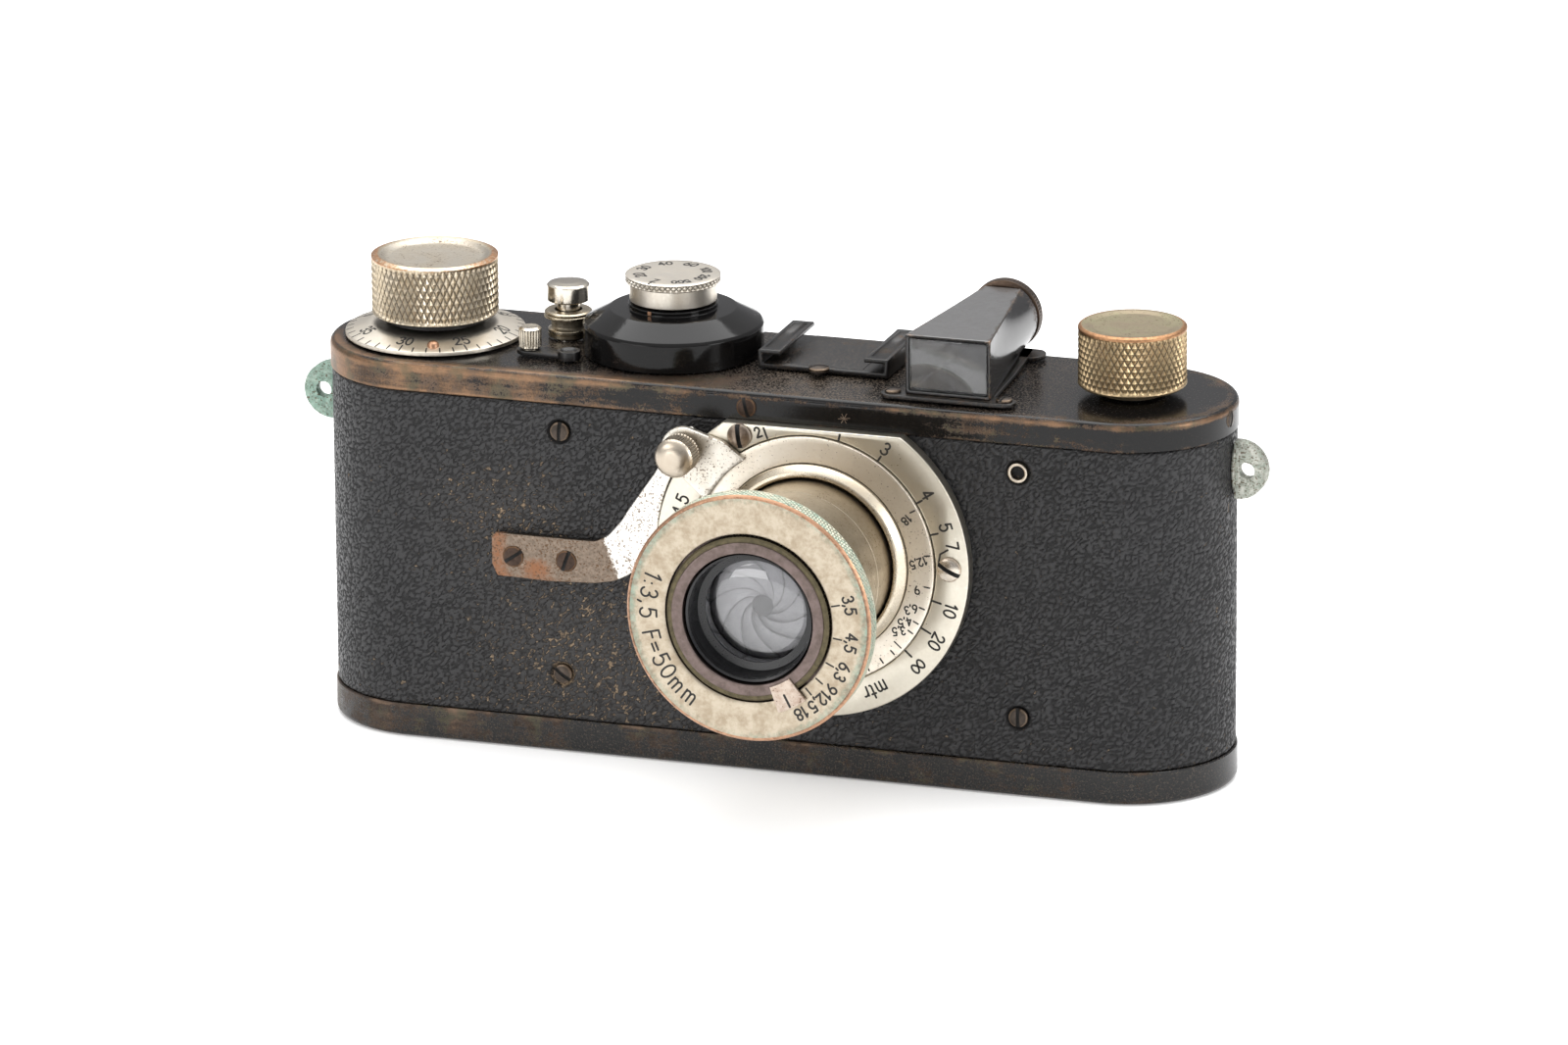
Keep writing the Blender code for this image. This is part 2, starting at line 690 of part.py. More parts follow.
# own X stays X, own Y becomes Z, own Z runs towards the back
shoe = outline("accessory_shoe", [[(x, -z) for x, z in shoe_profile]], 15.5, loc=(0, -4.0, H), rot=(math.radians(-90), 0, 0))
box("shoe_front", (-1.85, -5.3, H + 0.35), (17.05, -3.4, H + 0.95), CUTTERS)
rod("shoe_bump", 2.2, H + 0.33, H + 0.97, 12, CUTTERS, loc=(7.3, -4.9, 0))
box("shoe_pad", (1.7, -3.1, H + 0.5), (13.2, 11.3, H + 1.06), CUTTERS)
many_rods("shoe_screw_hole", [(7.3, -4.9, H)], 0.8, -1, 3, 8)
cut(
    join(shoe, bpy.data.objects["shoe_front"], bpy.data.objects["shoe_bump"], bpy.data.objects["shoe_pad"]),
    bpy.data.objects["shoe_screw_hole"],
)
paint(shoe, "black_paint")
screw("shoe_screw", 1.5, H + 1.75, H + 1.3, 0.5, H + 0.35, "dark_steel", loc=(7.3, -4.9, 0))

# ---- viewfinder: a tube that goes from a rectangle in front to a flat-topped circle behind ----
VF_X, VF_Y0, VF_Y1 = 28.4, -12.0, 14.3


def rectangle_loop(half_x, low, high, n=8):
    """Corners at every n-th point, from the lower right corner, counter-clockwise seen from the front."""
    corners = [(half_x, low), (half_x, high), (-half_x, high), (-half_x, low)]
    loop = []
    for k in range(4):
        (x0, z0), (x1, z1) = corners[k], corners[(k + 1) % 4]
        loop += [(x0 + (x1 - x0) * i / n, z0 + (z1 - z0) * i / n) for i in range(n)]
    return loop


def round_loop(r, centre, flat, n=8):
    """A circle whose top is cut off at a height: the flat spans the same n points as the rectangle's top."""
    edge = math.degrees(math.asin((flat - centre) / r))
    turns = [-45 + (edge + 45) * i / n for i in range(n)]
    loop = [(r * math.cos(math.radians(a)), centre + r * math.sin(math.radians(a))) for a in turns]
    width = r * math.cos(math.radians(edge))
    loop += [(width - 2 * width * i / n, flat) for i in range(n)]
    turns = [180 - edge + (edge + 45) * i / n for i in range(n)]
    loop += [(r * math.cos(math.radians(a)), centre + r * math.sin(math.radians(a))) for a in turns]
    turns = [225 + 90 * i / n for i in range(n)]
    loop += [(r * math.cos(math.radians(a)), centre + r * math.sin(math.radians(a))) for a in turns]
    return loop


def loft(name, first, last, y0, y1, levels, where):
    """Skin from one section to the other, with capped ends."""
    mesh = bpy.data.meshes.new(name)
    bm = bmesh.new()
    rows = []
    for j in range(levels + 1):
        t = j / levels
        ease = t * t * (3 - 2 * t)
        rows.append(
            [
                bm.verts.new(
                    Vector((VF_X + a[0] + (b[0] - a[0]) * t, y0 + (y1 - y0) * t, H + a[1] + (b[1] - a[1]) * (0.5 * t + 0.5 * ease))) * MM
                )
                for a, b in zip(first, last)
            ]
        )
    count = len(first)
    for lower, upper in zip(rows, rows[1:]):
        for i in range(count):
            k = (i + 1) % count
            bm.faces.new((lower[i], lower[k], upper[k], upper[i]))
    bm.faces.new(rows[0][::-1])
    bm.faces.new(rows[-1])
    bmesh.ops.recalc_face_normals(bm, faces=bm.faces)
    bm.to_mesh(mesh)
    bm.free()
    return add(name, mesh, where)


vf = loft("viewfinder_body", rectangle_loop(6.2, 0.85, 9.45), round_loop(4.7, 5.2, 9.05), VF_Y0, VF_Y1, 3, PARTS)
loft("vf_bore", rectangle_loop(5.15, 1.9, 8.75), round_loop(3.9, 5.2, 8.5), VF_Y0 - 0.05, VF_Y1 + 0.05, 3, CUTTERS)
foot_front = arc(-8.1, 0.4, 1.7, 90, 270, 6) + arc(8.1, 0.4, 1.7, -90, 90, 6)
foot = [(-6.2, 2.1)] + foot_front[1:-1] + [(6.2, 2.1), (5.6, 14), (4.6, 26.3), (-4.6, 26.3), (-5.6, 14)]
outline("vf_foot", [foot], 0.6, CUTTERS, loc=(VF_X, VF_Y0, H + 0.3))
outline("vf_foot_rear", [arc(4.4, 0.5, 2.5, -60, 60, 6) + [(-1, 3), (-1, -2)]], 0.6, CUTTERS, loc=(VF_X, 11.6, H + 0.3))
rod("vf_rear_seat", 5.0, 12.6, 14.2, 20, CUTTERS, loc=(VF_X, 0, H + 5.2), rot=(math.radians(-90), 0, 0))
box("vf_foot_link", (VF_X - 5.0, VF_Y0, H + 0.5), (VF_X + 5.0, 10.5, H + 1.2), CUTTERS)
cut(
    join(vf, bpy.data.objects["vf_foot_link"], bpy.data.objects["vf_foot"], bpy.data.objects["vf_foot_rear"]),
    bpy.data.objects["vf_bore"],
)
paint(vf, "brassed_paint")
paint(box("viewfinder_front_lens", (VF_X - 4.8, -11.6, H + 2.2), (VF_X + 4.8, -10.6, H + 8.4)), "glass")
EYE = {"loc": (VF_X, 0, H + 5.2), "rot": (math.radians(-90), 0, 0)}
paint(
    turned(
        "eyepiece_ring",
        [(4.9, 16.6), (5.2, 16.3), (5.2, 14.75), (4.9, 14.6), (2.6, 14.6), (2.6, 15.4), (2.3, 15.6), (2.3, 16.6)],
        20,
        ring=True,
        **EYE,
    ),
    "brassed_paint",
)
paint(turned("eyepiece_lens", [(0, 14.15), (3.1, 14.15), (3.1, 12.4), (0, 12.4)], 14, **EYE), "glass")
for label, x in (("left", VF_X - 8.1), ("right", VF_X + 8.1)):
    screw("finder_screw_" + label, 1.15, H + 1.5, H + 1.2, 0.5, H + 0.95, "dark_steel", loc=(x, VF_Y0 + 0.4, 0))

# ---- rewind ----
paint(
    turned(
        "rewind_knob",
        [
            (0, H + 9.9), (6.2, H + 10.0), (7.2, H + 10.2), (7.62, H + 9.8), (7.62, H + 1.75), (7.2, H + 1.35),
            (4.6, H + 1.35), (4.6, H + 0.35), (2.8, H + 0.35), (2.8, H + 5.5), (0, H + 5.5),
        ],
        24,
        loc=(*REWIND, 0),
    ),
    "brass",
)
box("fork_slot", (REWIND[0] - 6, -1.1, 40), (REWIND[0] + 6, 1.1, 46.6), CUTTERS)
paint(
    cut(
        turned("rewind_fork", [(0, H + 5.0), (2.5, H + 5.0), (2.5, 49.0), (4.0, 48.4), (4.0, 44.0), (0, 44.0)], 12, loc=(*REWIND, 0)),
        bpy.data.objects["fork_slot"],
    ),
    "steel",
)

# ---- strap lugs ----
for label, side in (("left", -1), ("right", 1)):
    r, cx = 4.15, 67.15
    start = math.degrees(math.acos((66.6 - cx) / r))
    ear = arc(cx, 0, r, -start, start, 16)
    hole = arc(68.4, 0, 1.15, 0, 342, 19)
    points = [[(side * x, y) for x, y in ring] for ring in (ear, hole)]
    lug = outline("strap_lug_" + label, points, 1.7, loc=(0, 0.85, 45.9), rot=FRONTWARD)
    paint(lug, "pitted_nickel")
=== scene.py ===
import math

import bmesh
import bpy
import numpy as np
from mathutils import Matrix, Vector


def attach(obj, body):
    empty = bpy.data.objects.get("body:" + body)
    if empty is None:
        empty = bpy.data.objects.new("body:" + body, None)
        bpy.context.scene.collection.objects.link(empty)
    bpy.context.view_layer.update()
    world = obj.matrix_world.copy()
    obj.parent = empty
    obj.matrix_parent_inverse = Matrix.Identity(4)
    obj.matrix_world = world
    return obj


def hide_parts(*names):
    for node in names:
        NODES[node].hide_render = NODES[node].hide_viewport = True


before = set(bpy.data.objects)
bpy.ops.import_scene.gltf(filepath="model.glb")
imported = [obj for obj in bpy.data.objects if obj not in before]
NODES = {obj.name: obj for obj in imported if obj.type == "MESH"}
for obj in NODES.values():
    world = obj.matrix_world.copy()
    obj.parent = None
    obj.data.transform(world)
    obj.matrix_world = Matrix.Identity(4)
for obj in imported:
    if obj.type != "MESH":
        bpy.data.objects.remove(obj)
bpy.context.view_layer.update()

MM = 0.001
HALF, H = 51.34, 55.42
LX, LZ = 10.26, 32.68
WIND, RELEASE, DRUM, REWIND = (-51.5, 0.0), (-32.9, 4.0), (-16.4, 1.7), (51.6, 0.0)
REVERSE, REVERSE_POST = (-28.8, -7.6), (-35.0, -6.4)
LOCK, TRIPOD = (51.5, 0.0), (-53.5, 0.0)
LEVER_KNOB = (-8.1, 47.4)
TAU = 2 * math.pi
rad = math.radians


# ------------------------------------------------------------------ materials
class Mat:
    """A node tree in few words. Coordinates are the piece's own, in millimetres."""

    def __init__(self, name):
        self.mat = bpy.data.materials.new(name)
        self.mat.use_nodes = True
        self.t = self.mat.node_tree
        self.t.nodes.clear()
        self.out = self.t.nodes.new("ShaderNodeOutputMaterial")
        self.where = self.n("TexCoord").outputs["Object"]

    def n(self, kind, ins=None, **props):
        node = self.t.nodes.new("ShaderNode" + kind)
        for k, v in props.items():
            setattr(node, k, v)
        for k, v in (ins or {}).items():
            self.put(node.inputs[k], v)
        return node

    def put(self, socket, v):
        if isinstance(v, bpy.types.NodeSocket):
            self.t.links.new(v, socket)
        elif hasattr(v, "__len__"):
            socket.default_value = (*v, 1.0) if socket.type == "RGBA" and len(v) == 3 else v
        else:
            socket.default_value = v

    def at(self, sx=1.0, sy=None, sz=None, shift=(0, 0, 0)):
        sy = sx if sy is None else sy
        sz = sx if sz is None else sz
        return self.n("Mapping", {"Vector": self.where, "Scale": (1000 * sx, 1000 * sy, 1000 * sz), "Location": shift}).outputs[0]

    def noise(self, scale, detail=3.0, rough=0.55, at=None, distort=0.0):
        at = self.at() if at is None else at
        return self.n("TexNoise", {"Vector": at, "Scale": scale, "Detail": detail, "Roughness": rough, "Distortion": distort}).outputs[0]

    def cells(self, scale, at=None, feature="F1", out=0, random=1.0):
        at = self.at() if at is None else at
        return self.n("TexVoronoi", {"Vector": at, "Scale": scale, "Randomness": random}, feature=feature).outputs[out]

    def m(self, op, a, b=0.5, c=None, clamp=False):
        node = self.n("Math", operation=op, use_clamp=clamp)
        self.put(node.inputs[0], a)
        self.put(node.inputs[1], b)
        if c is not None:
            self.put(node.inputs[2], c)
        return node.outputs[0]

    def span(self, v, lo, hi, a=0.0, b=1.0, smooth=False):
        return self.n("MapRange", {0: v, 1: lo, 2: hi, 3: a, 4: b}, interpolation_type="SMOOTHSTEP" if smooth else "LINEAR").outputs[0]

    def ramp(self, v, stops):
        node = self.n("ValToRGB", {0: v})
        e = node.color_ramp.elements
        while len(e) < len(stops):
            e.new(0.5)
        for el, (p, c) in zip(e, stops):
            el.position = p
            el.color = (*c, 1.0) if hasattr(c, "__len__") else (c, c, c, 1.0)
        return node.outputs[0]

    def mix(self, f, a, b):
        return self.n("Mix", {0: f, 6: a, 7: b}, data_type="RGBA").outputs[2]

    def mixf(self, f, a, b):
        return self.n("Mix", {0: f, 2: a, 3: b}, data_type="FLOAT").outputs[0]

    def attr(self, name):
        return self.n("Attribute", attribute_name=name).outputs["Fac"]

    def bump(self, h, dist, strength=1.0, normal=None):
        ins = {"Height": h, "Distance": dist * MM, "Strength": strength}
        if normal is not None:
            ins["Normal"] = normal
        return self.n("Bump", ins).outputs[0]

    def finish(self, **ins):
        p = self.n("BsdfPrincipled")
        for k, v in ins.items():
            self.put(p.inputs[k.replace("_", " ")], v)
        self.t.links.new(p.outputs[0], self.out.inputs[0])
        self.bsdf = p
        return self.mat


def lacquer(name, gloss=0.16, wear_gain=1.0, dust=0.25, bright=(0.29, 0.175, 0.105), dull=(0.13, 0.092, 0.068), seed=0.0, level=0.5, haze=0.0):
    """Black lacquer on brass. The wear attribute says where it has rubbed through, and noise breaks up its edge."""
    k = Mat(name)
    at = k.at(shift=(seed, seed, seed))
    big = k.noise(0.16, 3, 0.5, at)
    mid = k.noise(0.75, 5, 0.65, at, 0.4)
    fine = k.noise(4.0, 3, 0.7, at)
    streak = k.noise(1.0, 4, 0.6, k.at(0.22, 0.22, 1.9, (seed, 0, 3)))
    v = k.m("MULTIPLY_ADD", k.attr("wear"), wear_gain, k.m("MULTIPLY_ADD", k.m("SUBTRACT", big, 0.5), 0.9, k.m("MULTIPLY", k.m("SUBTRACT", mid, 0.5), 0.85)))
    v = k.m("ADD", v, k.m("MULTIPLY_ADD", k.m("SUBTRACT", fine, 0.5), 0.85, k.m("MULTIPLY", k.m("SUBTRACT", streak, 0.5), 0.6)))
    bare = k.span(v, 0.47, 0.56, smooth=True)
    shine = k.span(v, 0.66, 1.0)
    metal = k.mix(shine, k.mix(k.span(mid, 0.35, 0.65), dull, tuple(0.45 * c for c in dull)), k.mix(k.span(fine, 0.35, 0.65), bright, tuple(0.72 * c for c in bright)))
    moss = k.m("MULTIPLY", k.span(k.noise(0.3, 4, 0.6, k.at(shift=(seed + 2, 6, 1))), 0.52, 0.62), 0.45)
    metal = k.mix(moss, metal, (0.085, 0.09, 0.062))
    stain = k.mix(k.span(v, 0.36, 0.5), (0.0045, 0.0042, 0.0042), (0.022, 0.014, 0.01))
    if haze:
        stain = k.mix(k.span(mid, 0.3, 0.7), (haze, 0.985 * haze, 0.97 * haze), (0.75 * haze, 0.73 * haze, 0.71 * haze))
    colour = k.mix(bare, stain, metal)
    speck = k.m("MULTIPLY", k.span(k.m("MULTIPLY_ADD", k.attr("grime_and_shade"), 0.13, k.noise(3.4, 3, 0.7, k.at(shift=(9 + seed, 4, 7)))), 0.6, 0.7), k.span(k.attr("grime_and_shade"), 0.0, 1.0, dust, 1.0))
    colour = k.mix(k.m("MULTIPLY", speck, 0.6), colour, k.mix(fine, (0.06, 0.035, 0.02), (0.24, 0.19, 0.14)))
    rough = k.mixf(bare, k.m("MULTIPLY_ADD", mid, 0.14, gloss - 0.05), k.m("MULTIPLY_ADD", fine, 0.25, 0.3))
    rough = k.mixf(speck, rough, 0.6)
    height = k.m("MULTIPLY_ADD", k.span(v, 0.44, 0.6), -1.0, k.m("MULTIPLY_ADD", k.noise(1.6, 4, 0.6, at), 0.5, k.m("MULTIPLY", speck, 0.4)))
    return k.finish(Base_Color=colour, Metallic=k.m("MULTIPLY", bare, 0.9), Roughness=rough, Normal=k.bump(height, 0.03, 0.55), Specular_IOR_Level=level, Coat_Weight=1.0 if haze else 0.0, Coat_Roughness=0.22)


def leather():
    k = Mat("pebbled_covering")
    fine = k.noise(5.0, 4, 0.7)
    mid = k.noise(1.5, 5, 0.65, k.at(1.0, 1.0, 1.25))
    big = k.noise(0.09, 3, 0.5)
    low = k.m("ADD", k.attr("low"), k.m("MULTIPLY", k.m("SUBTRACT", mid, 0.5), 1.3))
    crease = k.span(low, 0.35, 1.05, smooth=True)
    base = k.mix(k.span(big, 0.35, 0.65), (0.0105, 0.0103, 0.0112), (0.0155, 0.015, 0.016))
    base = k.mix(k.m("MULTIPLY", k.span(fine, 0.35, 0.65), 0.5), base, (0.026, 0.0255, 0.027))
    # Painted shade: the creases between pebbles, the ripples and the rings round the screws are darkened in the base
    # colour.
    base = k.mix(k.m("MULTIPLY", crease, 0.72), base, (0.003, 0.0029, 0.003))
    # rubbed tops and tan dirt in the creases
    rub = k.attr("wear")
    dull = k.m("MULTIPLY", k.span(rub, 0.1, 0.9), 0.3)
    colour = k.mix(dull, base, (0.034, 0.028, 0.024))
    field = k.noise(0.75, 4, 0.7, k.at(shift=(3, 8, 1)))
    line = k.m("MULTIPLY", k.span(low, 0.74, 1.04), k.span(k.m("MULTIPLY_ADD", rub, 0.26, field), 0.65, 0.71))
    spots = k.span(k.m("MULTIPLY_ADD", rub, 0.1, k.noise(3.0, 2, 0.6, k.at(shift=(6, 2, 9)))), 0.76, 0.8)
    tan = k.m("MAXIMUM", line, k.m("MULTIPLY", spots, 0.7))
    colour = k.mix(k.m("MULTIPLY", tan, 0.9), colour, k.mix(k.span(fine, 0.4, 0.6), (0.15, 0.1, 0.06), (0.4, 0.3, 0.2)))
    rough = k.m("ADD", k.m("MULTIPLY_ADD", fine, 0.24, 0.22), k.m("MULTIPLY_ADD", crease, 0.4, k.m("MULTIPLY", tan, 0.2)))
    h = k.m("ADD", k.m("MULTIPLY", crease, -1.0), k.m("MULTIPLY", fine, 0.3))
    return k.finish(Base_Color=colour, Roughness=rough, Normal=k.bump(h, 0.12, 1.0), Specular_IOR_Level=0.42)


def metal(name, colour, patina, worn=(0.55, 0.27, 0.13), dirt_and_shade=(0.05, 0.042, 0.03), rough=0.3, mottle=0.5, pits=0.0, aniso=0.0, axis="Z", lines=0.0, seed=0.0, green=0.0, size=0.35):
    """Plated metal: patches of patina, pits and fine scratches. wear shows the metal below, and the darkening attribute
    darkens what lies low: real dirt, and painted shade at the foot of the wind and rewind knobs.
    """
    k = Mat(name)
    at = k.at(shift=(seed, 2 * seed, -seed))
    big = k.noise(size, 4, 0.6, at, 0.3)
    mid = k.noise(1.9, 4, 0.65, at)
    fine = k.noise(9.0, 3, 0.6, at)
    mott = k.m("MULTIPLY", k.span(k.m("ADD", big, k.m("MULTIPLY", k.m("SUBTRACT", mid, 0.5), 0.5)), 0.36, 0.68), mottle)
    base = k.mix(mott, colour, patina)
    w = k.m("ADD", k.attr("wear"), k.m("MULTIPLY_ADD", k.m("SUBTRACT", mid, 0.5), 0.8, k.m("MULTIPLY", k.m("SUBTRACT", fine, 0.5), 0.4)))
    bare = k.span(w, 0.42, 0.62, smooth=True)
    base = k.mix(bare, base, k.mix(k.span(mid, 0.35, 0.65), worn, tuple(0.62 * c for c in worn)))
    g = k.m("ADD", k.attr("grime_and_shade"), k.m("MULTIPLY", k.m("SUBTRACT", mid, 0.5), 0.9))
    dirt_and_shade_mask = k.span(g, 0.3, 0.85)
    grime_and_shade = dirt_and_shade
    if green:
        grime_and_shade = k.mix(k.m("MULTIPLY", k.span(k.noise(1.1, 3, 0.6, k.at(shift=(5, 5, 5))), 0.4, 0.58), green), dirt_and_shade, (0.27, 0.4, 0.32))
    # The dark colour is mixed in where the mask is high: real dirt, and painted shade at the foot of the wind and
    # rewind knobs.
    base = k.mix(k.m("MULTIPLY", dirt_and_shade_mask, 0.85), base, grime_and_shade)
    spots = None
    if pits:
        field = k.noise(3.2, 2, 0.5, k.at(shift=(seed + 1, 3, 6)))
        spots = k.span(k.m("ADD", field, k.m("MULTIPLY", k.m("SUBTRACT", big, 0.5), 0.35)), 0.66 - 0.1 * pits, 0.71 - 0.1 * pits)
        base = k.mix(k.m("MULTIPLY", spots, 0.8), base, (0.1, 0.055, 0.03))
    r = k.m("ADD", k.m("MULTIPLY_ADD", mid, 0.16, rough - 0.08), k.m("MULTIPLY_ADD", dirt_and_shade_mask, 0.3, k.m("MULTIPLY_ADD", bare, 0.08, k.m("MULTIPLY", mott, 0.12))))
    metallic = k.m("SUBTRACT", 1.0, k.m("MULTIPLY", dirt_and_shade_mask, 0.75))
    h = k.m("MULTIPLY_ADD", fine, 0.35, k.m("MULTIPLY", mid, 0.3))
    if spots is not None:
        h = k.m("SUBTRACT", h, k.m("MULTIPLY", spots, 0.9))
    if lines:
        sx, sy, sz = {"X": (0.12, 7, 7), "Y": (7, 0.12, 7), "Z": (7, 7, 0.12)}[axis]
        h = k.m("MULTIPLY_ADD", k.noise(1.0, 3, 0.6, k.at(sx, sy, sz)), lines, h)
    ins = {"Base_Color": base, "Metallic": metallic, "Roughness": r, "Normal": k.bump(h, 0.012, 0.5)}
    if aniso:
        ins["Anisotropic"] = aniso
        ins["Tangent"] = k.n("Tangent", direction_type="RADIAL", axis=axis).outputs[0]
    return k.finish(**ins)


def plain(name, colour, rough=0.5, metallic=0.0, vary=0.3, size=0.8, bump=0.01):
    """Simple finish for inner pieces: tone and gloss drift over the surface."""
    k = Mat(name)
    n1 = k.noise(size, 4, 0.6)
    n2 = k.noise(size * 6, 3, 0.6)
    c = k.mix(k.m("MULTIPLY", k.span(n1, 0.35, 0.65), vary), colour, tuple(0.45 * x for x in colour))
    r = k.m("MULTIPLY_ADD", n2, 0.2, rough - 0.1)
    return k.finish(Base_Color=c, Roughness=r, Metallic=metallic, Normal=k.bump(n2, bump, 0.5))


def glass(name, tint=(0.94, 0.94, 0.95), film=(1.0, 1.0, 1.0), smudge=0.06):
    """Thin polished glass: what lies behind shows through unbent, and the surface mirrors the lights."""
    k = Mat(name)
    n = k.noise(0.35, 4, 0.6)
    clear = k.n("BsdfTransparent", {"Color": tint})
    gloss = k.n("BsdfGlossy", {"Color": film, "Roughness": k.span(n, 0.3, 0.7, 0.015, 0.05)})
    f = k.n("Fresnel", {"IOR": 1.62}).outputs[0]
    one = k.n("MixShader", {0: k.m("MULTIPLY", f, 1.25, clamp=True)})
    k.t.links.new(clear.outputs[0], one.inputs[1])
    k.t.links.new(gloss.outputs[0], one.inputs[2])
    haze = k.n("BsdfDiffuse", {"Color": (0.64, 0.64, 0.66)})
    two = k.n("MixShader", {0: k.m("MULTIPLY", k.span(k.noise(0.5, 5, 0.7, k.at(shift=(4, 4, 4))), 0.35, 0.75), smudge)})
    k.t.links.new(one.outputs[0], two.inputs[1])
    k.t.links.new(haze.outputs[0], two.inputs[2])
    k.t.links.new(two.outputs[0], k.out.inputs[0])
    return k.mat


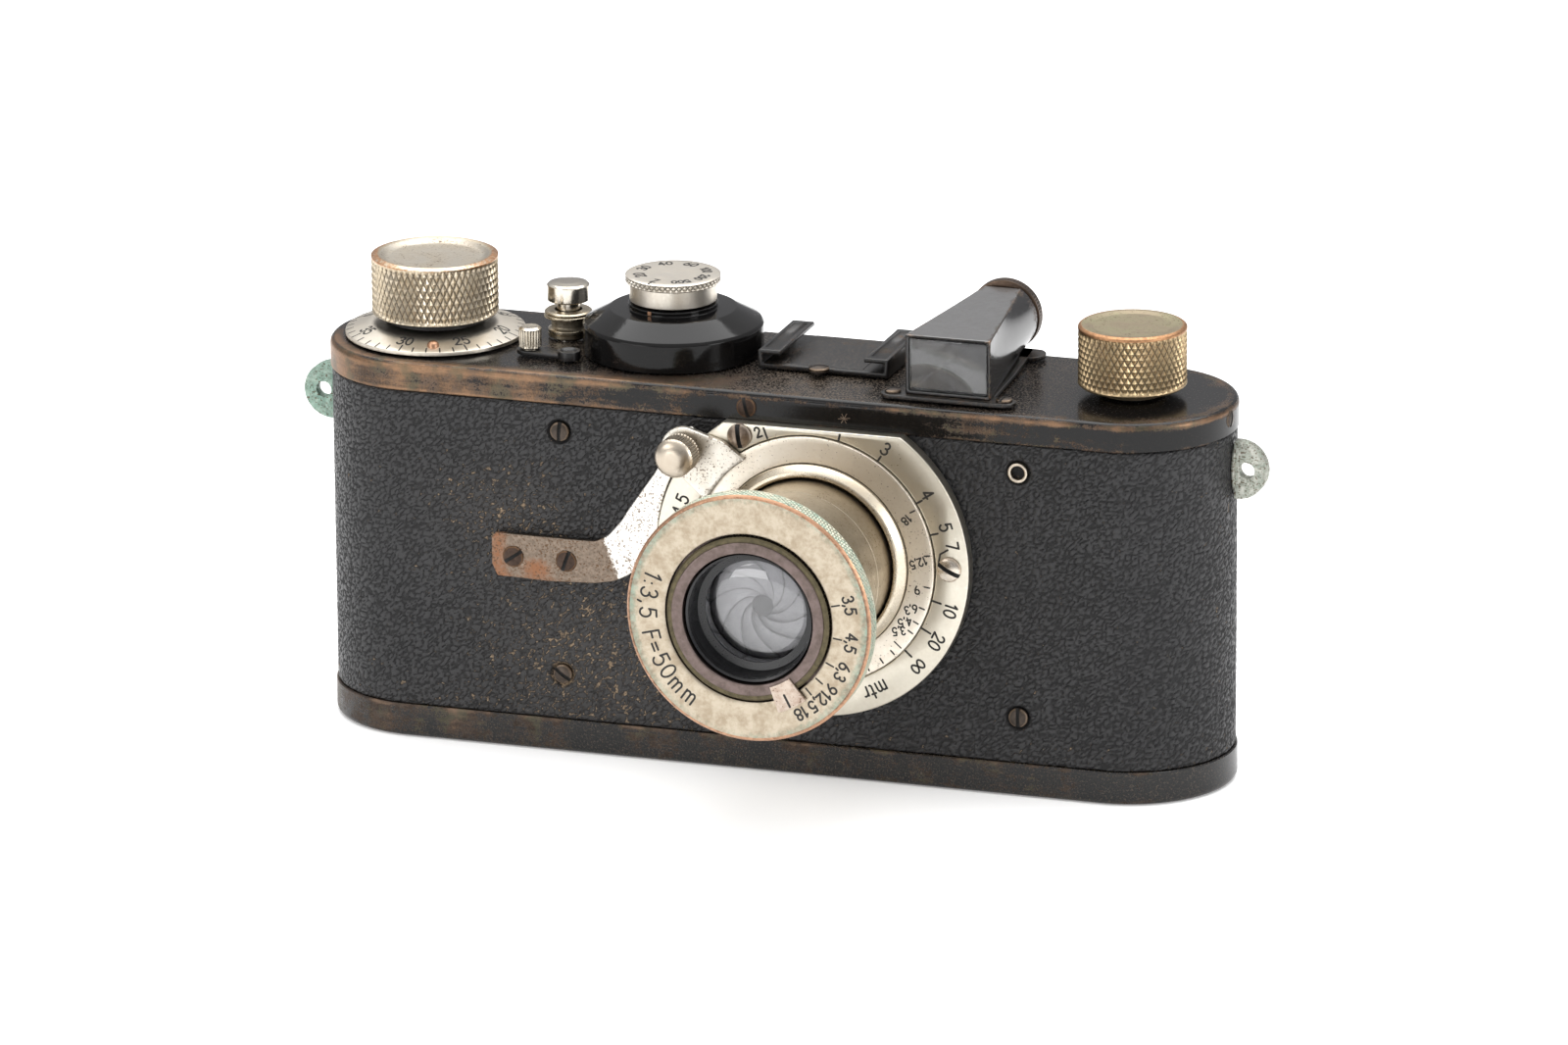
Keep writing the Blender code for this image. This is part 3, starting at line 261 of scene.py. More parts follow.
NICKEL = (0.66, 0.6, 0.5)
M = {
    "top": lacquer("worn_black_lacquer", 0.15, dust=0.2, level=0.3),
    "base": lacquer("worn_base_lacquer", 0.2, dust=0.35, bright=(0.2, 0.135, 0.095), dull=(0.085, 0.064, 0.052), seed=4.0, level=0.43),
    "finder": lacquer("finder_lacquer", 0.13, dust=0.15, bright=(0.42, 0.24, 0.14), dull=(0.16, 0.125, 0.105), seed=8.0),
    "finder_top": lacquer("finder_top_lacquer", 0.3, dust=0.6, bright=(0.36, 0.22, 0.14), dull=(0.14, 0.12, 0.105), seed=33.0, haze=0.085),
    "shoe": lacquer("shoe_lacquer", 0.3, dust=0.4, bright=(0.35, 0.2, 0.12), dull=(0.14, 0.09, 0.06), seed=12.0),
    "dialbase": lacquer("dial_base_lacquer", 0.08, dust=0.04, seed=15.0, level=0.24),
    "leather": leather(),
    "nickel": metal("satin_nickel", NICKEL, (0.55, 0.45, 0.3), rough=0.3, mottle=0.45, lines=0.5, axis="Y", seed=1.0),
    "flange": metal("flange_nickel", (0.66, 0.62, 0.53), (0.5, 0.45, 0.36), rough=0.3, mottle=0.4, seed=2.0, size=0.12, pits=0.0, lines=0.8, axis="X"),
    # Painted light: this nickel is brighter than the other nickel so that the focus ring's front face reads as lit.
    "focus_face": metal("focus_face_nickel", (0.84, 0.78, 0.68), (0.66, 0.58, 0.47), rough=0.34, mottle=0.55, seed=35.0, size=0.2, pits=0.1, lines=0.5, axis="X"),
    "mount": metal("mount_nickel", (0.64, 0.57, 0.46), (0.5, 0.42, 0.3), rough=0.27, mottle=0.55, aniso=0.45, axis="Y", seed=3.0),
    "face": metal("ring_face_nickel", (0.5, 0.435, 0.34), (0.37, 0.3, 0.215), worn=(0.4, 0.22, 0.12), rough=0.4, mottle=0.9, green=1.0, dirt_and_shade=(0.2, 0.2, 0.15), seed=5.0, size=0.5),
    "rim": metal("ring_rim", (0.5, 0.47, 0.37), (0.3, 0.38, 0.31), worn=(0.5, 0.36, 0.22), dirt_and_shade=(0.07, 0.09, 0.065), rough=0.45, mottle=0.9, green=1.0, seed=6.0, size=0.6),
    "catch": metal("catch_nickel", (0.78, 0.75, 0.7), (0.6, 0.55, 0.47), worn=(0.23, 0.18, 0.14), dirt_and_shade=(0.3, 0.12, 0.045), rough=0.28, mottle=0.3, pits=0.75, seed=7.0, size=0.3),
    "lobe": metal("lever_nickel", (0.74, 0.7, 0.63), (0.6, 0.54, 0.44), worn=(0.42, 0.22, 0.1), rough=0.36, mottle=0.5, pits=0.6, seed=9.0),
    "tab": metal("tab_nickel", (0.52, 0.44, 0.37), (0.4, 0.3, 0.24), worn=(0.42, 0.26, 0.18), rough=0.38, mottle=0.9, pits=0.3, seed=34.0, size=0.9),
    "knob": metal("bright_nickel", (0.54, 0.475, 0.39), (0.45, 0.37, 0.28), rough=0.3, mottle=0.35, aniso=0.35, axis="Y", seed=10.0),
    "wind": metal("wind_knob_plate", (0.6, 0.52, 0.4), (0.5, 0.4, 0.26), worn=(0.6, 0.33, 0.18), dirt_and_shade=(0.05, 0.035, 0.02), rough=0.3, mottle=0.6, seed=11.0),
    "windtop": metal("wind_knob_top", (0.5, 0.46, 0.395), (0.39, 0.33, 0.25), worn=(0.4, 0.23, 0.13), rough=0.42, mottle=0.6, seed=12.0, pits=0.3),
    "counter": metal("counter_nickel", (0.66, 0.61, 0.53), (0.5, 0.44, 0.35), rough=0.36, mottle=0.35, aniso=0.4, axis="Z", seed=13.0),
    "rewind": metal("rewind_brass", (0.53, 0.39, 0.23), (0.42, 0.34, 0.2), worn=(0.46, 0.25, 0.13), dirt_and_shade=(0.045, 0.032, 0.016), rough=0.34, mottle=0.6, seed=14.0),
    "rewindtop": metal("rewind_top", (0.38, 0.31, 0.215), (0.3, 0.285, 0.18), worn=(0.44, 0.25, 0.14), rough=0.42, mottle=0.8, pits=0.3, seed=15.0, size=0.25),
    "release": metal("polished_nickel", (0.7, 0.65, 0.57), (0.6, 0.52, 0.4), rough=0.16, mottle=0.3, seed=16.0),
    "collar": metal("collar_nickel", (0.5, 0.44, 0.34), (0.3, 0.24, 0.16), rough=0.26, mottle=0.6, seed=17.0),
    "speed": metal("speed_dial_nickel", (0.76, 0.71, 0.63), (0.6, 0.53, 0.43), rough=0.36, mottle=0.4, seed=18.0, lines=0.9, axis="X"),
    "post": metal("post_nickel", (0.66, 0.6, 0.5), (0.5, 0.42, 0.3), rough=0.26, mottle=0.4, seed=19.0),
    "slot": plain("screw_slot", (0.006, 0.005, 0.004), 0.7, 0.0, 0.3),
    "screw": metal("dark_screw", (0.075, 0.06, 0.05), (0.04, 0.034, 0.03), worn=(0.2, 0.15, 0.11), dirt_and_shade=(0.012, 0.01, 0.008), rough=0.36, mottle=0.7, seed=20.0, size=0.9),
    "screw_rust": metal("rusty_screw", (0.085, 0.058, 0.045), (0.05, 0.036, 0.03), worn=(0.21, 0.125, 0.075), dirt_and_shade=(0.02, 0.012, 0.01), rough=0.5, mottle=0.8, seed=21.0, size=0.9),
    "screw_brown": metal("brown_screw", (0.3, 0.24, 0.19), (0.14, 0.1, 0.075), worn=(0.4, 0.34, 0.28), dirt_and_shade=(0.02, 0.014, 0.01), rough=0.3, mottle=0.8, seed=32.0, size=0.9),
    "screw_bright": metal("nickel_screw", (0.66, 0.6, 0.52), (0.5, 0.42, 0.33), worn=(0.6, 0.5, 0.4), dirt_and_shade=(0.02, 0.014, 0.01), rough=0.25, mottle=0.4, seed=22.0, size=0.9),
    "lug_left": metal("lug_verdigris", (0.34, 0.42, 0.36), (0.22, 0.36, 0.3), worn=(0.5, 0.55, 0.48), dirt_and_shade=(0.1, 0.12, 0.1), rough=0.5, mottle=0.9, pits=0.8, green=0.8, seed=23.0, size=0.8),
    "lug_right": metal("lug_pitted", (0.5, 0.5, 0.45), (0.32, 0.36, 0.3), worn=(0.55, 0.55, 0.5), dirt_and_shade=(0.13, 0.12, 0.09), rough=0.42, mottle=0.8, pits=0.9, green=0.5, seed=24.0, size=0.8),
    "brown": metal("brown_ring", (0.17, 0.13, 0.12), (0.09, 0.07, 0.06), worn=(0.34, 0.26, 0.2), dirt_and_shade=(0.03, 0.022, 0.015), rough=0.34, mottle=0.7, seed=25.0, size=0.7),
    "nickel_under": metal("base_nickel", (0.6, 0.54, 0.45), (0.44, 0.36, 0.25), rough=0.32, mottle=0.6, aniso=0.4, axis="Z", seed=26.0),
    "eyering": metal("eye_ring", (0.11, 0.075, 0.055), (0.05, 0.038, 0.03), worn=(0.36, 0.22, 0.13), dirt_and_shade=(0.01, 0.01, 0.01), rough=0.35, mottle=0.7, seed=27.0),
    "tube": metal("tube_nickel", (0.46, 0.4, 0.31), (0.34, 0.27, 0.18), rough=0.3, mottle=0.6, seed=30.0, lines=1.2, axis="Y", pits=0.1),
    "milled": metal("milled_edge", (0.12, 0.1, 0.06), (0.08, 0.07, 0.045), worn=(0.26, 0.21, 0.1), dirt_and_shade=(0.02, 0.016, 0.01), rough=0.45, mottle=0.7, seed=31.0, size=1.2),
    "ink": plain("engraving_fill", (0.011, 0.009, 0.007), 0.6, 0.0, 0.4, 2.0),
    "brass": plain("inner_brass", (0.5, 0.36, 0.16), 0.4, 1.0, 0.5),
    "copper": metal("copper_pin", (0.5, 0.29, 0.18), (0.36, 0.2, 0.13), rough=0.35, mottle=0.6, seed=28.0, size=1.0),
    "steel": plain("inner_steel", (0.4, 0.4, 0.39), 0.36, 1.0, 0.4),
    "black": plain("matt_black", (0.008, 0.008, 0.008), 0.5, 0.0, 0.4),
    "cell": plain("cell_black", (0.006, 0.006, 0.007), 0.3, 0.0, 0.3),
    "cloth": plain("curtain_cloth", (0.016, 0.015, 0.015), 0.9, 0.0, 0.5, 3.0, 0.04),
    "blade": metal("iris_steel", (0.29, 0.288, 0.29), (0.215, 0.213, 0.212), dirt_and_shade=(0.1, 0.1, 0.1), rough=0.42, mottle=0.5, seed=29.0, size=0.5),
    "glass": glass("lens_glass", smudge=0.02),
    "finder_glass": glass("finder_glass", (0.85, 0.85, 0.85), smudge=0.1),
    "finder_inner": plain("finder_inner", (0.07, 0.07, 0.07), 0.35, 0.0, 0.3),
}


# ------------------------------------------------------------------ mesh tools
def rounded(points, seg=4, closed=False):
    """A profile whose corners carry a fillet radius as their third number."""
    out = []
    n = len(points)
    for i, p in enumerate(points):
        here = np.array(p[:2], float)
        r = p[2] if len(p) > 2 else 0.0
        if r <= 0 or (not closed and i in (0, n - 1)):
            out.append(tuple(here))
            continue
        a = np.array(points[i - 1][:2], float) - here
        b = np.array(points[(i + 1) % n][:2], float) - here
        la, lb = np.linalg.norm(a), np.linalg.norm(b)
        a, b = a / la, b / lb
        angle = math.acos(float(np.clip(a @ b, -1, 1)))
        if angle > math.pi - 0.02:
            out.append(tuple(here))
            continue
        t = min(r / math.tan(angle / 2), 0.49 * la, 0.49 * lb)
        r = t * math.tan(angle / 2)
        mid = here + (a + b) / np.linalg.norm(a + b) * r / math.sin(angle / 2)
        s, e = here + a * t - mid, here + b * t - mid
        s0, e0 = math.atan2(s[1], s[0]), math.atan2(e[1], e[0])
        d = (e0 - s0 + math.pi) % TAU - math.pi
        out += [(mid[0] + r * math.cos(s0 + d * k / seg), mid[1] + r * math.sin(s0 + d * k / seg)) for k in range(seg + 1)]
    return out


def finer(profile, step, closed=False):
    """The profile with long straight runs divided, so that wear can change along them."""
    out = []
    pairs = list(zip(profile, profile[1:] + (profile[:1] if closed else [])))
    for a, b in pairs:
        k = max(1, int(math.ceil(math.dist(a, b) / step)))
        out += [(a[0] + (b[0] - a[0]) * i / k, a[1] + (b[1] - a[1]) * i / k) for i in range(k)]
    if not closed:
        out.append(profile[-1])
    return out


def up(x, y, z=0.0):
    return lambda u, v, w: np.stack([x + u, y + v, z + w], -1)


def front(x=LX, z=LZ):
    """Own x stays x, own y becomes z, and own z runs out of the front."""
    return lambda u, v, w: np.stack([x + u, -w, z + v], -1)


def back(x, z):
    return lambda u, v, w: np.stack([x - u, w, z + v], -1)


class Shape:
    def __init__(self):
        self.v, self.f, self.mat, self.a, self.count = [], [], [], {"wear": [], "grime_and_shade": [], "low": []}, 0

    def put(self, v, f, mat=0, wear=0.0, grime_and_shade=0.0, low=0.0):
        v = np.asarray(v, float).reshape(-1, 3)
        self.v.append(v)
        self.f += [tuple(i + self.count for i in q) for q in f]
        self.mat += [mat] * len(f) if np.isscalar(mat) else list(mat)
        for k, x in (("wear", wear), ("grime_and_shade", grime_and_shade), ("low", low)):
            self.a[k].append(np.broadcast_to(np.asarray(x, float).reshape(-1) if not np.isscalar(x) else x, (len(v),)))
        self.count += len(v)
        return self

    def mesh(self, name, merge=1e-5, outward=True):
        mesh = bpy.data.meshes.new(name)
        mesh.from_pydata((np.concatenate(self.v) * MM).tolist(), [], self.f)
        mesh.polygons.foreach_set("material_index", np.array(self.mat, np.int32))
        for k, x in self.a.items():
            layer = mesh.attributes.new(k, "FLOAT", "POINT")
            layer.data.foreach_set("value", np.concatenate(x).astype(np.float32))
        bm = bmesh.new()
        bm.from_mesh(mesh)
        if merge:
            bmesh.ops.remove_doubles(bm, verts=bm.verts, dist=merge * MM)
        if outward:
            bmesh.ops.recalc_face_normals(bm, faces=bm.faces)
        bm.to_mesh(mesh)
        bm.free()
        return mesh

    def done(self, name, mats, body, slot=None, nodes=(), smooth=38, merge=1e-5, outward=True):
        obj = bpy.data.objects.new(name, self.mesh(name, merge, outward))
        bpy.context.scene.collection.objects.link(obj)
        return settle(obj, mats, body, nodes, smooth)


def settle(obj, mats, body, nodes=(), smooth=38):
    for m in [mats] if isinstance(mats, str) else mats:
        obj.data.materials.append(M[m])
    obj.data.shade_smooth()
    obj.data.set_sharp_from_angle(angle=rad(smooth))
    if nodes:
        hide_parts(*([nodes] if isinstance(nodes, str) else nodes))
    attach(obj, body)
    return obj


def grid_faces(rows, cols, wrap=True, wrap_rows=False, skip=None, lean=None):
    """Quads between rows of points. With lean, an array of depths, each quad is cut along its deeper diagonal."""
    f = []
    for j in range(rows if wrap_rows else rows - 1):
        k = (j + 1) % rows
        for i in range(cols if wrap else cols - 1):
            n = (i + 1) % cols
            if skip is not None and skip[j, i]:
                continue
            a, b, c, d = j * cols + i, j * cols + n, k * cols + n, k * cols + i
            if lean is not None:
                p, q = lean[j, i] + lean[k, n], lean[j, n] + lean[k, i]
                if abs(p - q) > 1e-6:
                    f += [(a, b, c), (a, c, d)] if p > q else [(a, b, d), (b, c, d)]
                    continue
            f.append((a, b, c, d))
    return f


def lathe(shape, profile, n, place, ring=False, radial=None, wear=None, grime_and_shade=None, mat=0, mats=None, turn=0.0):
    """Turns a profile of (radius, height). radial gives how far each point sinks, wear and the darkening attribute are
    functions of radius, height and angle, and sunk points are darkened more.
    """
    p = np.array(profile, float)
    th = turn + TAU * np.arange(n) / n
    r = np.repeat(p[:, :1], n, 1)
    h = np.repeat(p[:, 1:2], n, 1)
    t = np.repeat(th[None, :], len(p), 0)
    sink = radial(r, h, t) if radial else None
    rr = r - sink if sink is not None else r
    pts = place(rr * np.cos(t), rr * np.sin(t), h)
    f = grid_faces(len(p), n, True, ring, lean=sink)
    w = wear(r, h, t) if wear else np.zeros_like(r)
    g = grime_and_shade(r, h, t) if grime_and_shade else np.zeros_like(r)
    if sink is not None and sink.max() > 0:
        g = np.maximum(g, 0.95 * (sink / sink.max()) ** 2)
    if mats:
        index = [mats(r[v // n, 0] * 0.5 + r[q[-1] // n, 0] * 0.5, h[v // n, 0] * 0.5 + h[q[-1] // n, 0] * 0.5) for q in f for v in q[:1]]
        shape.put(pts, f, index, w, g)
    else:
        shape.put(pts, f, mat, w, g)
    return shape


def knurl(teeth, pitch, z0, z1, r0, depth, kind="diamond", flat=0.12, slant=0.0, fade=None):
    fade = pitch * 0.25 if fade is None else fade

    def sink(r, h, t):
        inside = (np.abs(r - r0) < 0.02) & (h > z0 - 1e-6) & (h < z1 + 1e-6)
        a, b = teeth * t / TAU, (h - z0) / pitch
        tri = lambda x: np.abs(2 * (x - np.floor(x)) - 1)
        g = np.maximum(tri(a + b), tri(a - b)) if kind == "diamond" else tri(a + slant * b)
        ends = np.clip(np.minimum(h - z0, z1 - h) / fade + 0.15, 0, 1)
        return depth * np.clip((g - flat) / (1 - flat), 0, 1) * inside * ends

    return sink


def zone(z_top, z_bottom, step, r):
    k = int(round((z_top - z_bottom) / step))
    return [(r, z_top - (z_top - z_bottom) * i / k) for i in range(k + 1)]


def stadium(shape, profile, n_arc=64, n_flat=80, wear=None, grime_and_shade=None, closed=True, sink=None, skip=None, low=None, mat=0):
    """Sweeps a profile of (offset, z) round the body's outline, starting at the middle of the back."""
    cx, dx, dy = [], [], []
    half = n_flat // 2
    for i in range(half):
        cx.append(HALF * i / half), dx.append(0.0), dy.append(1.0)
    for i in range(n_arc):
        a = math.pi / 2 - math.pi * i / n_arc
        cx.append(HALF), dx.append(math.cos(a)), dy.append(math.sin(a))
    for i in range(n_flat):
        cx.append(HALF - 2 * HALF * i / n_flat), dx.append(0.0), dy.append(-1.0)
    for i in range(n_arc):
        a = -math.pi / 2 - math.pi * i / n_arc
        cx.append(-HALF), dx.append(math.cos(a)), dy.append(math.sin(a))
    for i in range(half):
        cx.append(-HALF + HALF * i / half), dx.append(0.0), dy.append(1.0)
    cx, dx, dy = map(np.array, (cx, dx, dy))
    p = np.array(profile, float)
    r = np.repeat(p[:, :1], len(cx), 1)
    z = np.repeat(p[:, 1:2], len(cx), 1)
    x, y = cx[None] + r * dx[None], r * dy[None]
    if sink is not None:
        s = sink(x, y, z, r)
        x, y = cx[None] + (r - s) * dx[None], (r - s) * dy[None]
    else:
        s = None
    pts = np.stack([x, y, z], -1)
    f = grid_faces(len(p), len(cx), True, closed, skip=skip(x, y, z) if skip else None)
    w = wear(x, y, z, r) if wear else 0.0
    g = grime_and_shade(x, y, z, r) if grime_and_shade else 0.0
    shape.put(pts, f, mat, w, g, low(x, y, z, s) if low else 0.0)
    return shape


def slab(outline, z0, z1, bevel, place, holes=(), seg=3, limit=50, cell=0.0):
    """A flat plate with rounded edges, as points and faces placed in the world."""
    curve = bpy.data.curves.new("slab", "CURVE")
    curve.dimensions = "2D"
    curve.fill_mode = "BOTH"
    curve.extrude = (z1 - z0) / 2
    for ring in [outline, *holes]:
        spline = curve.splines.new("POLY")
        spline.points.add(len(ring) - 1)
        for point, (x, y) in zip(spline.points, ring):
            point.co = (x, y, 0, 1)
        spline.use_cyclic_u = True
    guide = bpy.data.objects.new("slab", curve)
    bpy.context.scene.collection.objects.link(guide)
    mesh = bpy.data.meshes.new_from_object(guide.evaluated_get(bpy.context.evaluated_depsgraph_get()))
    bpy.data.objects.remove(guide, do_unlink=True)
    bm = bmesh.new()
    bm.from_mesh(mesh)
    bmesh.ops.remove_doubles(bm, verts=bm.verts, dist=1e-4)
    bmesh.ops.dissolve_limit(bm, angle_limit=0.001, verts=bm.verts, edges=[e for e in bm.edges if len(e.link_faces) == 2 and e.calc_face_angle() < 0.001 and abs(e.link_faces[0].normal.z) > 0.9])
    bm.to_mesh(mesh)
    bm.free()
    obj = bpy.data.objects.new("slab", mesh)
    bpy.context.scene.collection.objects.link(obj)
    if bevel:
        b = obj.modifiers.new("edge", "BEVEL")
        b.width, b.segments, b.limit_method, b.angle_limit = bevel, seg, "ANGLE", rad(limit)
    out = bpy.data.meshes.new_from_object(obj.evaluated_get(bpy.context.evaluated_depsgraph_get()))
    bpy.data.objects.remove(obj, do_unlink=True)
    if cell:
        bm = bmesh.new()
        bm.from_mesh(out)
        xy = np.array(outline)
        for axis in (0, 1):
            lo, hi = xy[:, axis].min(), xy[:, axis].max()
            for k in range(1, int((hi - lo) / cell)):
                at = [0.0, 0.0, 0.0]
                at[axis] = lo + k * cell + 0.013
                way = [0.0, 0.0, 0.0]
                way[axis] = 1.0
                bmesh.ops.bisect_plane(bm, geom=bm.verts[:] + bm.edges[:] + bm.faces[:], plane_co=at, plane_no=way)
        bm.to_mesh(out)
        bm.free()
    v = np.array([tuple(x.co) for x in out.vertices])
    f = [tuple(p.vertices) for p in out.polygons]
    return place(v[:, 0], v[:, 1], v[:, 2] + (z0 + z1) / 2), f


def block(lo, hi, place=up(0, 0)):
    x, y, z = zip(lo, hi)
    c = np.array([[x[i], y[j], z[k]] for i in (0, 1) for j in (0, 1) for k in (0, 1)])
    f = [(0, 1, 3, 2), (4, 6, 7, 5), (0, 4, 5, 1), (2, 3, 7, 6), (0, 2, 6, 4), (1, 5, 7, 3)]
    return place(c[:, 0], c[:, 1], c[:, 2]), f


def carve(obj, *cutters, op="DIFFERENCE"):
    """Cuts shapes from a piece, and keeps its attributes."""
    made = []
    for i, shape in enumerate(cutters):
        tool = bpy.data.objects.new("cutter", shape.mesh("cutter"))
        bpy.context.scene.collection.objects.link(tool)
        tool.data.shade_smooth()
        if len(obj.data.materials) > 1:
            for look in obj.data.materials:
                tool.data.materials.append(look)
        b = obj.modifiers.new("cut%d" % i, "BOOLEAN")
        b.operation, b.object, b.solver = op, tool, "EXACT"
        made.append(tool)
    mesh = bpy.data.meshes.new_from_object(obj.evaluated_get(bpy.context.evaluated_depsgraph_get()))
    obj.modifiers.clear()
    old, obj.data = obj.data, mesh
    mesh.name = old.name
    bpy.data.meshes.remove(old)
    for tool in made:
        bpy.data.objects.remove(tool, do_unlink=True)
    return obj


def arc(cx, cy, r, a0, a1, n):
    return [(cx + r * math.cos(rad(a0 + (a1 - a0) * i / n)), cy + r * math.sin(rad(a0 + (a1 - a0) * i / n))) for i in range(n + 1)]


# ------------------------------------------------------------------ engraving: single strokes with round ends
def bow(cx, cy, rx, ry, a0, a1, n=14):
    return [(cx + rx * math.cos(rad(a0 + (a1 - a0) * i / n)), cy + ry * math.sin(rad(a0 + (a1 - a0) * i / n))) for i in range(n + 1)]


GLYPHS = {
    "0": (0.6, [bow(0.3, 0.5, 0.27, 0.5, 0, 360, 24)]),
    "1": (0.36, [[(0.03, 0.76), (0.22, 1.0)], [(0.22, 1.0), (0.22, 0.0)]]),
    "2": (0.6, [bow(0.29, 0.71, 0.25, 0.29, 170, -25, 14) + [(0.03, 0.0)], [(0.03, 0.0), (0.57, 0.0)]]),
    "3": (0.58, [bow(0.27, 0.75, 0.22, 0.25, 155, -90), bow(0.27, 0.26, 0.27, 0.26, 90, -155)]),
    "4": (0.62, [[(0.42, 0.0), (0.42, 1.0)], [(0.42, 1.0), (0.02, 0.3)], [(0.02, 0.3), (0.6, 0.3)]]),
    "5": (0.6, [[(0.53, 1.0), (0.13, 1.0)], [(0.13, 1.0), (0.08, 0.56)], bow(0.28, 0.33, 0.28, 0.33, 135, -150, 18)]),
    "6": (0.6, [[(0.46, 1.0), (0.24, 0.76), (0.09, 0.5), (0.03, 0.3)], bow(0.3, 0.29, 0.27, 0.29, 180, -180, 24)]),
    "7": (0.58, [[(0.02, 1.0), (0.56, 1.0)], [(0.56, 1.0), (0.2, 0.0)]]),
    "8": (0.6, [bow(0.3, 0.76, 0.22, 0.24, -90, 270, 22), bow(0.3, 0.26, 0.28, 0.26, 90, 450, 24)]),
    "9": (0.6, [[(0.14, 0.0), (0.36, 0.24), (0.51, 0.5), (0.57, 0.7)], bow(0.3, 0.71, 0.27, 0.29, 0, 360, 24)]),
    ",": (0.2, [[(0.1, 0.06), (0.03, -0.14)]]),
    ":": (0.2, [[(0.08, 0.08), (0.08, 0.1)], [(0.08, 0.52), (0.08, 0.54)]]),
    "=": (0.56, [[(0.02, 0.36), (0.48, 0.36)], [(0.02, 0.6), (0.48, 0.6)]]),
    "F": (0.52, [[(0.04, 0.0), (0.04, 1.0)], [(0.04, 1.0), (0.5, 1.0)], [(0.04, 0.52), (0.42, 0.52)]]),
    "m": (0.8, [[(0.04, 0.0), (0.04, 0.64)], bow(0.2, 0.44, 0.16, 0.2, 180, 0, 10) + [(0.36, 0.0)], bow(0.52, 0.44, 0.16, 0.2, 180, 0, 10) + [(0.68, 0.0)]]),
    "t": (0.4, [[(0.14, 0.92), (0.14, 0.14)] + bow(0.24, 0.12, 0.1, 0.12, 180, 280, 6), [(0.0, 0.62), (0.3, 0.62)]]),
    "r": (0.4, [[(0.04, 0.0), (0.04, 0.64)], bow(0.24, 0.38, 0.2, 0.26, 180, 70, 8)]),
    "Z": (0.6, [[(0.03, 1.0), (0.56, 1.0)], [(0.56, 1.0), (0.03, 0.0)], [(0.03, 0.0), (0.57, 0.0)]]),
    "o": (0.98, [[(0.47 + 0.44 * math.cos(t) / (1 + 0.35 * math.sin(t) ** 2), 0.5 + 0.62 * math.sin(t) * math.cos(t)) for t in [TAU * i / 36 for i in range(37)]]]),
    " ": (0.4, []),
}


def ribbon(shape, line, width, surface, place, level, mat=0, depth=0.05):
    """A stroke of constant width with round ends, lying on surface(u, v), as a thin solid."""
    p = np.array(line, float)
    keep = [0] + [i for i in range(1, len(p)) if np.linalg.norm(p[i] - p[i - 1]) > 1e-4]
    p = p[keep]
    if len(p) < 2:
        p = np.array([p[0], p[0] + (0.001, 0)])
    d = np.gradient(p, axis=0) if len(p) > 2 else np.array([p[1] - p[0]] * 2)
    d /= np.linalg.norm(d, axis=1)[:, None]
    nrm = np.stack([-d[:, 1], d[:, 0]], 1) * width / 2
    closed = len(p) > 8 and np.linalg.norm(p[0] - p[-1]) < 0.02
    left, right = list(p + nrm), list((p - nrm)[::-1])
    if closed:
        n = len(p)
        rows = np.array([left, right[::-1]])
        for w, flip in ((level, False), (level - depth, True)):
            pass
        pts = np.concatenate([rows[0], rows[1], rows[1], rows[0]])
        u, v = pts[:, 0], pts[:, 1]
        w = surface(u, v) + np.repeat([level, level, level - depth, level - depth], n)
        f = [(a * n + i, a * n + i + 1, ((a + 1) % 4) * n + i + 1, ((a + 1) % 4) * n + i) for a in range(4) for i in range(n - 1)]
        shape.put(place(u, v, w), f, mat)
        return
    cap = []
    for centre, direction in ((p[-1], d[-1]), (p[0], -d[0])):
        a0 = math.atan2(direction[1], direction[0])
        cap.append([centre + width / 2 * np.array([math.cos(a0 + b), math.sin(a0 + b)]) for b in (rad(55), rad(18), rad(-18), rad(-55))])
    loop = np.array(left + cap[0] + right + cap[1])
    n = len(loop)
    m = len(p)
    u = np.concatenate([loop[:, 0], loop[:, 0]])
    v = np.concatenate([loop[:, 1], loop[:, 1]])
    w = surface(u, v) + np.repeat([level, level - depth], n)
    f = [(i, (i + 1) % n, n + (i + 1) % n, n + i) for i in range(n)]
    right0 = m + 4
    for o in (0, n):
        f += [(o + i, o + i + 1, o + right0 + (m - 2 - i), o + right0 + (m - 1 - i)) for i in range(m - 1)]
        f.append(tuple(o + k for k in [m - 1, m, m + 1, m + 2, m + 3, right0]))
        f.append(tuple(o + k for k in [right0 + m - 1, right0 + m, right0 + m + 1, right0 + m + 2, right0 + m + 3, 0]))
    shape.put(place(u, v, w), f, mat)


